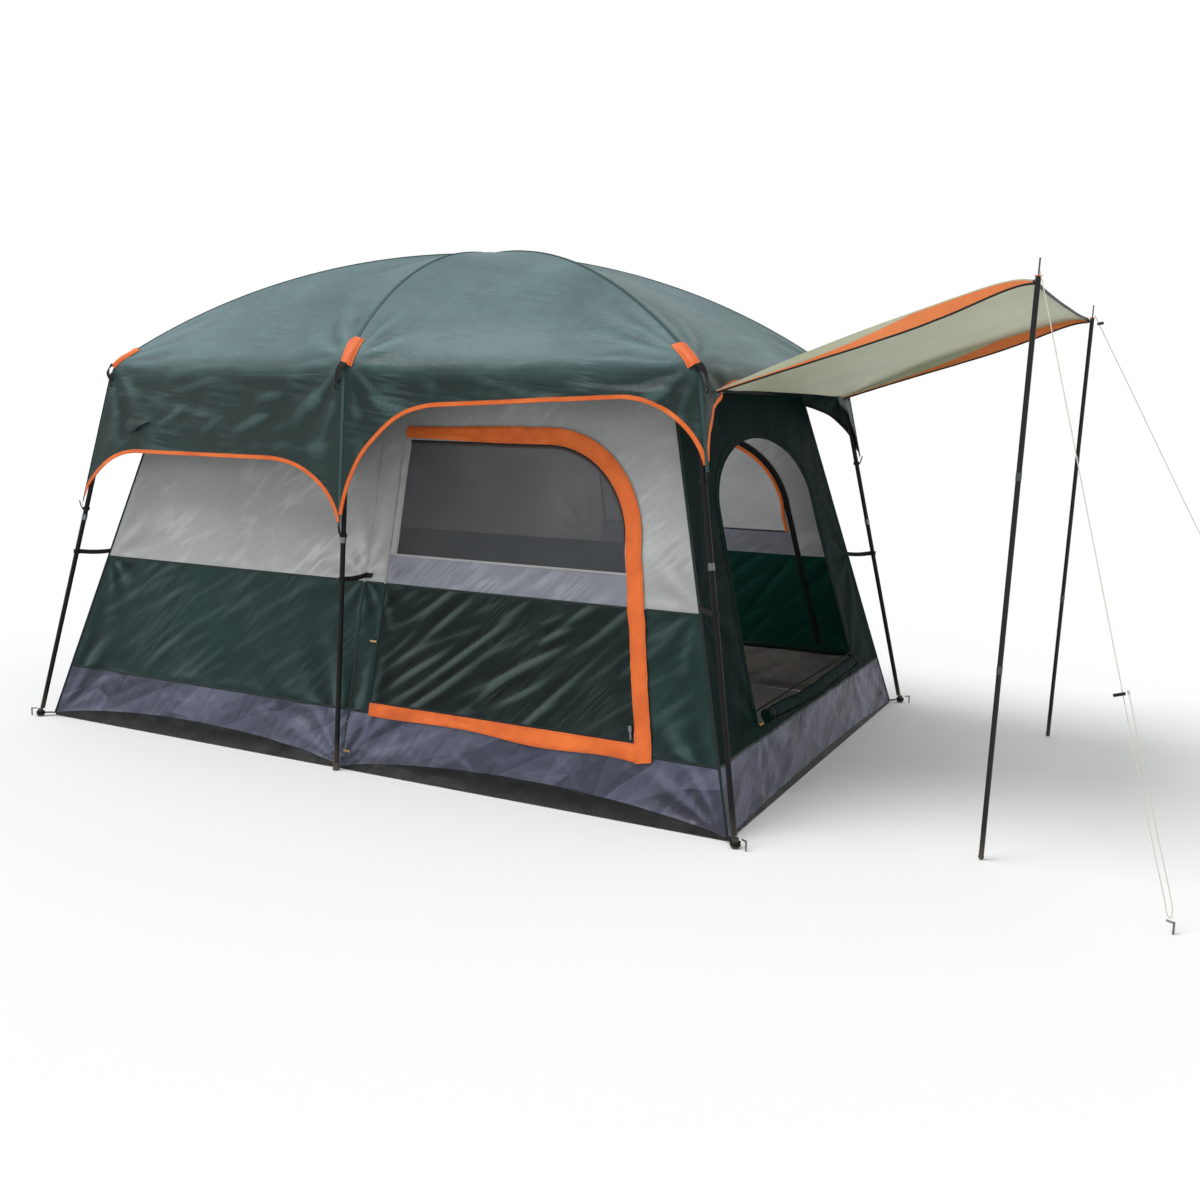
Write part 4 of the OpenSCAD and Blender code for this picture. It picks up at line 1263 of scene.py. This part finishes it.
for s in (-1, 1):
    on = side, side_depth, s
    strip(g, on, [(0, SEAM_Z), (0, WALL_TOP)], 12 * MM, SEWN)
    strip(g, on, [(DOOR_X + 1.5 * MM, SEAM_Z), (DOOR_X + 1.5 * MM, DOOR_Z1)], 11 * MM, -2.2 * MM)
    strip(g, on, [(DOOR_X - 6 * MM, SEAM_Z), (DOOR_X - 6 * MM, DOOR_Z1 + 0.02)], 9 * MM, SEWN)
g.piece("upper_seams", [GREY_TAPE], "tent", "grey_cloth")


# ------------------------------------------------------------------ side doors
def tape(g, s, line, lo, hi, lift, seed, cols=11):
    """A puckered zip cover along a line on the wall, from lo to hi across it; both may vary along it."""
    line = resample(line, 11 * MM)
    k = len(line)
    t = np.linspace(0, 1, k)
    d = np.gradient(line, axis=0)
    d /= np.linalg.norm(d, axis=1)[:, None]
    nrm = np.column_stack([d[:, 1], -d[:, 0]])
    a, b = lo(t), hi(t)
    far = along(line)
    v, up_ = [], []
    for c in range(cols):
        q = c / (cols - 1)
        v.append(line + nrm * (a + (b - a) * q)[:, None])
        ruck = 0.0030 * wob(far * 26, np.full(k, q * 2.2), seed) * (0.4 + abs(2 * q - 1)) + 0.0024 * wob(
            far * 8, np.full(k, q * 1.5), seed + 4
        )
        up_.append(lift + 0.0016 + np.maximum(ruck, -0.0025) + 0.0012 * (1 - abs(2 * q - 1) ** 4))
    v = np.concatenate(v)
    p = side(v, MID + np.concatenate(up_) + side_depth(v, s), s)
    over = np.dot(np.cross(p[1] - p[0], p[k] - p[0]), out_dir(side, s)) < 0
    g.sheet(
        p, grid(cols - 1, k, down=over), 0, 1.4 * MM, along=np.tile(far, cols),
        across=np.repeat(np.linspace(-1, 1, cols), k)
    )


for s, word in ((-1, "front"), (1, "back")):
    on, body = (side, side_depth, s), word + "_door"
    L = DOOR_X + 4.0 * MM
    g = Build()
    wall(
        g, on, [(L, DOOR_Z0), (door_edge(DOOR_Z0), DOOR_Z0), (door_edge(SEAM_Z), SEAM_Z), (L, SEAM_Z)],
        cell=12 * MM, mat=0, back=3
    )
    wall(
        g, on, [(L, SEAM_Z), (door_edge(SEAM_Z), SEAM_Z), (door_edge(WIN_Z), WIN_Z), (L, WIN_Z)],
        cell=13 * MM, mat=1
    )
    inner = [
        (DOOR_X + 28 * MM, WIN_Z), (DOOR_X + 28 * MM, DOOR_Z1 - 34 * MM), *reversed(door_corner(-34 * MM)),
        (door_edge(WIN_Z) - 34 * MM, WIN_Z)
    ]
    outer = [(door_edge(WIN_Z), WIN_Z), *door_corner(0), (L, DOOR_Z1), (L, WIN_Z)]
    wall(g, on, inner + outer, cell=15 * MM, mat=2)
    o = g.piece(
        word + "_door_cloth", [GREEN, SILL, GREY, INNER_GREEN_LIT], body, "green_cloth", [word + "_door_panel"]
    )
    g = Build()
    hole = [
        (DOOR_X + 25 * MM, WIN_Z - 4 * MM), (door_edge(WIN_Z) - 31 * MM, WIN_Z - 4 * MM),
        *door_corner(-31 * MM), (DOOR_X + 25 * MM, DOOR_Z1 - 31 * MM)
    ]
    wall(g, on, hole, cell=18 * MM, lift=-0.9 * MM, t=0.5 * MM)
    o = g.piece(word + "_door_mesh", [MESH], body, "mesh_cloth", [word + "_door_window"])
    g = Build()
    strip(g, on, [(DOOR_X + 26 * MM, WIN_Z), (door_edge(WIN_Z) - 30 * MM, WIN_Z)], 9 * MM, SEWN, mat=1)
    strip(g, on, [(DOOR_X + 27 * MM, WIN_Z), (DOOR_X + 27 * MM, DOOR_Z1 - 34 * MM)], 9 * MM, SEWN, mat=1)
    strip(g, on, [(L, SEAM_Z), (door_edge(SEAM_Z) - 28 * MM, SEAM_Z)], 8 * MM, SEWN, mat=0)
    g.piece(word + "_door_seams", [GREEN_TAPE, GREY_TAPE], body, "green_cloth")

    g = Build()
    bottom = [(DOOR_X + 3 * MM, DOOR_Z0), (door_edge(DOOR_Z0) - 8 * MM, DOOR_Z0)]
    wave = lambda t: 0.027 + 0.022 * t**2 + 0.008 * np.sin(11 * t + 1) * (0.3 + t)
    tape(g, s, bottom, lambda t: np.full_like(t, -0.018) + 0.012 * (t > 2), wave, 2.6 * MM, 3.3)
    top = [(DOOR_X + 6 * MM, DOOR_Z1), *reversed(door_corner(0)), (door_edge(0.196), 0.196)]
    taper = lambda t: 0.020 + 0.010 * ramp(t, 0.0, 0.25)
    tape(g, s, top, lambda t: -taper(t), lambda t: 0.022 + 0.008 * ramp(t, 0.0, 0.22), 4.4 * MM, 7.7)
    g.piece(word + "_zip_cover", [ORANGE], body, "orange_cloth", [word + "_zip_tape"])
    # zip coil just inside the cover
    g = Build()
    coil = [(DOOR_X + 8 * MM, DOOR_Z0 + 21 * MM), (door_edge(DOOR_Z0) - 36 * MM, DOOR_Z0 + 21 * MM)]
    strip(g, on, coil, 9 * MM, 1.4 * MM, 2.2 * MM)
    rise = door_run(ZIP_FOOT, 0.955, 32.5 * MM, 32.5 * MM, 30 * MM)
    strip(g, on, rise, 8 * MM, 1.4 * MM, 2.2 * MM)
    # inside the tent: the black facing of the door's edge and the piping of its window
    facing = door_run(ZIP_FOOT, BEND_Z, 8 * MM, 14 * MM, 30 * MM)
    strip(g, on, facing, 26 * MM, -2.2 * MM, 1.6 * MM)
    g.piece(word + "_zip_coil", [DARK_TAPE], body, "black_webbing")
    g = Build()
    piping = door_run(WIN_Z, BEND_Z, 38 * MM, 36 * MM, 36 * MM)
    strip(g, on, piping, 15 * MM, -3.0 * MM, 1.6 * MM)
    g.piece(word + "_window_piping", [ORANGE], body, "orange_cloth")

# ------------------------------------------------------------------ end doorway
g = Build()
ring = resample(DOORWAY, 14 * MM, True)
centre = ring.mean(0)
p = end(ring, MID + end_depth(ring, 1), 1)
g.sweep(p, [(a * 0.6, b * 0.7) for a, b in BIND], out_dir(end, 1), closed=True)
inner = centre + (ring - centre) * 1.045
line = inner[inner[:, 1] > 0.30]
order = np.argsort(-np.arctan2(line[:, 1] - 0.6, line[:, 0]))
line = line[order]
g.sweep(end(line, MID + 1.4 * MM + end_depth(line, 1), 1), strap(6 * MM, 1.6 * MM), out_dir(end, 1))
g.piece("doorway_binding", [END_GREEN_SHADED], "tent", "green_cloth")


def roll_point(y):
    """Centre line of the rolled end door: it sags between its two toggles."""
    u = y / ROLL_HALF
    height = 0.290 - 0.014 * np.clip(1 - u * u, 0, 1) + 0.003 * np.sin(9 * y)
    return height, 0.030 + 0.003 * np.sin(7 * y + 1)


g = Build()
ys = np.linspace(-0.585, 0.585, 80)
turns = round_(28)
rolls = []
for y in ys:
    z, d = roll_point(y)
    c = end(np.array([[y, z]]), np.array([d]), 1)[0]
    o_, u_ = out_dir(end, 1), np.array([-math.sin(END_T), 0, math.cos(END_T)])
    pinch = 1 - 0.22 * math.exp(-(((abs(y) - 0.545) / 0.03) ** 2))
    for t in turns:
        r = 0.0225 * pinch * (1 - 0.10 * t / (TAU)) * (
            1 + 0.14 * noise.noise((y * 7, math.cos(t) * 1.4, math.sin(t) * 1.4))
            + 0.10 * noise.noise((y * 26, math.cos(t + y * 4) * 2, math.sin(t + y * 4) * 2))
        )
        rolls.append(c + o_ * (r * 0.92 * math.cos(t + 0.9)) + u_ * (r * 1.08 * math.sin(t + 0.9)))
k = len(turns)
z, d = roll_point(ys[0])
first = end(np.array([[ys[0], z]]), np.array([d]), 1)[0]
facing = np.dot(np.cross(rolls[1] - rolls[0], rolls[k] - rolls[0]), rolls[0] - first)
f = grid(len(ys) - 1, k, True, facing < 0)
f += [tuple(range(k)), tuple((len(ys) - 1) * k + a for a in reversed(range(k)))]
g.add(rolls, f)
# the cloth that leads from the sill up into the roll
v = []
for r in range(5):
    q = r / 4
    zz, dd = roll_point(ys)
    low_ = np.column_stack([ys, np.full_like(ys, 0.264)])
    p = end(
        np.column_stack([ys, SILL_TOP + (zz - 0.020 - SILL_TOP) * q]),
        MID + (1 - q) * end_depth(low_, 1) + (dd + 0.012) * math.sin(q * math.pi / 2) + 0.002 * wob(
            ys * 20, np.full_like(ys, q * 2), 3.0
        ) * q,
        1
    )
    v.append(p)
g.sheet(np.concatenate(v), grid(4, len(ys)))
rolled = g.piece("rolled_door_cloth", [END_GREEN_SHADED], "tent", "green_cloth", ["rolled_end_door"])

# ------------------------------------------------------------------ toggles, straps and loops
g = Build()


def toggle(at, axis, loop_dir, long=26 * MM):
    """A waisted toggle on an elastic loop."""
    at, axis, loop_dir = (np.asarray(q, float) for q in (at, axis, loop_dir))
    t = np.linspace(-0.5, 0.5, 17)
    r = 4.4 * MM * (0.80 + 0.35 * (2 * t) ** 2) * np.where(np.abs(t) > 0.46, 0.82, 1)
    g.sweep([at + axis * long * q for q in t], disc(1.0, 14), loop_dir, 0, widths=r)
    w = np.cross(axis, loop_dir)
    loop = [
        at + loop_dir * (5 * MM * math.cos(q)) + w * (5.4 * MM * math.sin(q))
        for q in np.linspace(0.9, TAU - 0.9, 16)
    ]
    g.sweep(loop, disc(1.3 * MM, 6), axis, 1)


for e in (-1, 1):
    z, d = roll_point(e * ROLL_HALF)
    at = end(np.array([[e * ROLL_HALF, 0.268]]), np.array([0.011]), 1)[0]
    toggle(at, (0, 1, 0), out_dir(end, 1))
    c = end(np.array([[e * 0.548, z]]), np.array([d]), 1)[0]
    o_, u_ = out_dir(end, 1), np.array([-math.sin(END_T), 0, math.cos(END_T)])
    band_round(g, c, o_, u_, 19.5 * MM, 26, 8 * MM, 1.6 * MM, 1, 21.5 * MM)
    tail = [
        c + o_ * 0.020 - u_ * (0.010 + 0.012 * q) + np.array([0, e * 0.030 * q, 0])
        for q in np.linspace(0, 1, 6)
    ]
    g.sweep(tail, disc(1.4 * MM, 6), None, 1)
for s in (-1, 1):
    for x, z in ((0.084, 0.4765), (0.030, 0.0685)):
        at = np.array([[x, z]])
        toggle(side(at, np.array([0.0105]), s)[0], (1, 0, 0), out_dir(side, s))
g.piece("door_toggles", [TOGGLE, ELASTIC], "tent", "tan_toggle", ["toggles"])

g = Build()
STRAP_Z = 0.715
for i in range(6):
    p = leg_at(i, STRAP_Z)
    w_ = np.array([np.sign(FEET[i][0]) * half_x(STRAP_Z), np.sign(FEET[i][1]) * half_y(STRAP_Z), STRAP_Z])
    d = (w_ - p) * (1, 1, 0)
    gap = np.linalg.norm(d)
    d /= gap
    e = np.array([-d[1], d[0], 0])
    band_round(g, p, d, e, 12.8 * MM, 28, 18 * MM, 1.8 * MM)
    q = np.linspace(0, 1, 12)
    run = p + np.outer(0.013 + q * (gap - 0.013), d) + np.outer(np.sin(math.pi * q), (0, 0, -0.004))
    for side_ in (-1, 1):
        g.sweep(run + np.outer(1 - q, e) * 0.004 * side_ + e * 0.0011 * side_, strap(18 * MM, 1.6 * MM), e)
    # sewn patch on the wall
    if FEET[i][0] == 0:
        patch = resample([(-0.004, STRAP_Z), (0.034, STRAP_Z)], 6 * MM)
        sg = int(np.sign(FEET[i][1]))
        g.sweep(
            side(patch, MID + 2 * MM + side_depth(patch, sg), sg), strap(20 * MM, 2 * MM), out_dir(side, sg)
        )
for i in (0, 2, 3, 5):
    p = FEET[i]
    w_ = np.array([np.sign(p[0]) * half_x(0.02), np.sign(p[1]) * half_y(0.02), 0.0])
    d = w_ - p
    gap = np.linalg.norm(d)
    d /= gap
    e = np.array([-d[1], d[0], 0])
    band_round(g, p + np.array([0, 0, 0.014]), d, e, 16.3 * MM, 24, 14 * MM, 1.8 * MM)
    q = np.linspace(0, 1, 8)
    g.sweep(
        p + np.outer(0.017 + q * (gap - 0.012), d) + np.outer(1 - 0.2 * q, (0, 0, 0.014)),
        strap(20 * MM, 2 * MM), (0, 0, 1)
    )
g.piece("leg_straps", [WEB], "tent", "black_webbing", ["wall_straps", "corner_loops"])

g = Build()
z0 = 1.984 - 0.022 - 0.00475 - 0.004
g.sweep(
    [(0.023 * math.cos(t), 0.023 * math.sin(t), z0 + 1 * MM * math.sin(3 * t)) for t in round_(40)],
    strap(14 * MM, 2 * MM), (0, 0, 1), closed=True
)
g.piece("crown_webbing", [WEB], "tent", "black_webbing", ["crown_tie"])

# ------------------------------------------------------------------ floor and inner ceiling
g = Build()
v, f = trim([(-1.556, -1.056), (1.556, -1.056), (1.556, 1.056), (-1.556, 1.056)], cell=34 * MM)
rise = 0.0022 + 0.0016 * wob(v[:, 0] * 3, v[:, 1] * 3, 5.5) + 0.0022 * np.clip(
    creases(v[:, 0], v[:, 1], 25, 0.8, 0.16, 8.8), 0, 1
)
g.sheet(np.column_stack([v, np.clip(rise, 0.0009, 0.008)]), f, back=1)
o = g.piece("floor_sheet", [INNER_FLOOR, FLOOR], "tent", "groundsheet_black", ["groundsheet"])

g = Build()
m = 28
hx, hy = float(half_x(WALL_TOP)) - 6 * MM, float(half_y(WALL_TOP)) - 6 * MM
u, v_ = (
    q.ravel() for q in np.meshgrid(np.linspace(-1, 1, m + 1), np.linspace(-1, 1, m + 1), indexing="ij")
)
bow = np.cos(math.pi / 2 * u) * np.cos(math.pi / 2 * v_)
z = WALL_TOP - 3.5 * MM + 0.400 * bow - 0.010 * bow * (1 + wob(u * 3, v_ * 3, 2.2)) * 0.5
f = [(a, d, c, b) for a, b, c, d in grid(m, m + 1)]
g.sheet(np.column_stack([hx * u, hy * v_, z]), f, t=0.8 * MM)
o = g.piece("ceiling_net", [CEIL], "tent", "mesh_cloth", ["inner_ceiling"])

# ------------------------------------------------------------------ awning
ROOT = np.array([1.360, 0, 1.432])
TILT = math.atan((POLE_TOP + 0.002 - 1.432) / (2.345 - 1.360))
AW_L, AW_Y0, AW_Y1 = 1.020, 0.760, 0.800


def awning_edge(t):
    return AW_Y0 + (AW_Y1 - AW_Y0) * t - 0.022 * 4 * t * (1 - t)


def awning_drop(t):
    """How far the hem hangs below the crest of the awning's side."""
    t = np.clip(t, 0, 1)
    return 0.009 + 0.038 * np.clip(np.sin(math.pi * t**1.35), 0, 1) ** 0.8


def awning_put(t, y, down):
    """Places points of the awning: t along it, y across its top, and down its hanging side."""
    edge = awning_edge(t)
    bow = np.clip(np.sin(math.pi * t), 0, 1)
    rel = np.clip(np.abs(y) / edge, 0, 1)
    x = AW_L * t - (0.015 * (1 - rel**2)) * t
    h = 0.031 * np.sin(
        math.pi / 2 * np.clip(t / 0.6, 0, 1)
    ) * (1 - t**20) - 0.030 * bow * np.cos(math.pi / 2 * rel) ** 2
    h -= 0.006 * rel**24
    h += 0.0040 * bow * creases(x, y, 7, 0.7, 0.13, 6.6) * (1 - rel**6)
    h += 0.0050 * (1 - rel**6) * (
        fan(x, np.abs(y), (AW_L, AW_Y1), 0.6, 10, 1.3) + fan(x, np.abs(y), (0, AW_Y0), 0.45, 10, 2.3)
    )
    wave = down / 0.05 * (0.0035 * np.sin(x * 19 + np.sign(y)) + 0.003 * wob(x * 9, y * 4, 5.5))
    side_y = np.sign(y) * (np.abs(y) - 0.002 * rel**24 - 0.12 * down - np.abs(wave))
    c, s = math.cos(TILT), math.sin(TILT)
    h = h - down
    return np.column_stack([ROOT[0] + x * c - h * s, side_y, ROOT[2] + x * s + h * c])


COLS, ACROSS, DOWN = 64, 44, 4
t_row = np.linspace(-0.013, 1, COLS + 1)
edge_t, drop_t = awning_edge(t_row), awning_drop(t_row)
hem_t = np.minimum(
    0.006 + 0.044 * np.clip(np.sin(math.pi * np.clip(t_row, 0, 1) ** 2.5), 0, 1) ** 1.2, drop_t - 0.003
)
rows = []
for e in (1, -1):
    part = [(e * edge_t, drop_t - hem_t * (1 - k / DOWN) if k < DOWN else drop_t) for k in range(DOWN + 1)]
    rows.append([(e * edge_t, (drop_t - hem_t) / 2)] + part)
top_u = np.sin(math.pi / 2 * np.linspace(-1, 1, ACROSS + 1)) * 0.5 + np.linspace(-1, 1, ACROSS + 1) * 0.5
lines = rows[1][::-1] + [(u * edge_t, 0 * edge_t) for u in top_u] + rows[0]
n_line = len(lines)
y_all, down_all = np.concatenate([q[0] for q in lines]), np.concatenate([q[1] for q in lines])
placed = awning_put(np.tile(t_row, n_line), y_all, down_all)
k = COLS + 1
f = grid(n_line - 1, k)
mat = [int(r < DOWN or r >= n_line - 1 - DOWN) for r in range(n_line - 1) for _ in range(COLS)]
g = Build()
up_ = placed[:, 2] * math.cos(TILT) - placed[:, 0] * math.sin(TILT)
g.sheet(
    placed, f, mat=mat, fold=np.clip(crest(up_, f) / AWNING_FOLD, -1, 1) * (down_all == 0) * (np.abs(y_all) < 0.7)
)
lip = placed.reshape(n_line, k, 3)[:, -1]
g.sweep(lip, [(a * 0.6, b) for a, b in BIND], (-math.sin(TILT), 0.01, math.cos(TILT)), 2)
for e in (0, -1):
    hem_line = placed.reshape(n_line, k, 3)[e]
    g.sweep(hem_line, [(a * 0.4, b * 0.8) for a, b in BIND], (0, 1, 0), 3)
awning = g.piece(
    "awning_cloth", [AWNING, HEM, DARK_TAPE, DARK_TAPE], None, "awning_cloth", ["awning_sheet"]
)
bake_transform(awning)

# ------------------------------------------------------------------ floor, light
ground = bpy.data.materials.new("studio_floor")
ground.use_nodes = True
ground.node_tree.nodes["Principled BSDF"].inputs["Base Color"].default_value = lin(229, 229, 228)
ground.node_tree.nodes["Principled BSDF"].inputs["Roughness"].default_value = 0.9
mesh = bpy.data.meshes.new("studio_floor")
mesh.from_pydata(
    [(-60, -60, -0.0005), (60, -60, -0.0005), (60, 60, -0.0005), (-60, 60, -0.0005)], [], [(0, 1, 2, 3)]
)
mesh.materials.append(ground)
floor = bpy.data.objects.new("studio_floor", mesh)
bpy.context.scene.collection.objects.link(floor)

world = bpy.data.worlds.new("studio")
bpy.context.scene.world = world
world.use_nodes = True
tree = world.node_tree
height = tree.nodes.new("ShaderNodeSeparateXYZ")
tree.links.new(tree.nodes.new("ShaderNodeTexCoord").outputs["Generated"], height.inputs[0])
shade = tree.nodes.new("ShaderNodeValToRGB")
tree.links.new(height.outputs[2], shade.inputs[0])
stops = shade.color_ramp.elements
stops[0].position, stops[0].color = 0.34, (1.0, 1.0, 1.0, 1)
stops[1].position, stops[1].color = 0.95, (1.0, 1.03, 1.06, 1)
for at, level in ((0.46, 0.42), (0.66, 0.50)):
    stops.new(at).color = (level, level * 1.01, level * 1.03, 1)
tree.links.new(shade.outputs[0], tree.nodes["Background"].inputs[0])
tree.nodes["Background"].inputs[1].default_value = 1.0


def light(name, kind, energy, aim, **settings):
    o = bpy.data.objects.new(name, bpy.data.lights.new(name, kind))
    bpy.context.scene.collection.objects.link(o)
    o.data.energy = energy
    for key, val in settings.items():
        setattr(o.data, key, val)
    o.rotation_mode = "QUATERNION"
    o.rotation_quaternion = Vector(aim).to_track_quat("Z", "Y")
    return o


light("key", "SUN", 2.0, (-0.42, -0.28, 0.88), angle=math.radians(34))
inside = light("inside", "POINT", 26.0, (0, 0, 1), shadow_soft_size=0.3)
inside.location = (0.1, 0, 0.95)
inside.visible_camera = inside.visible_glossy = False
bpy.context.scene.view_settings.view_transform = "Standard"
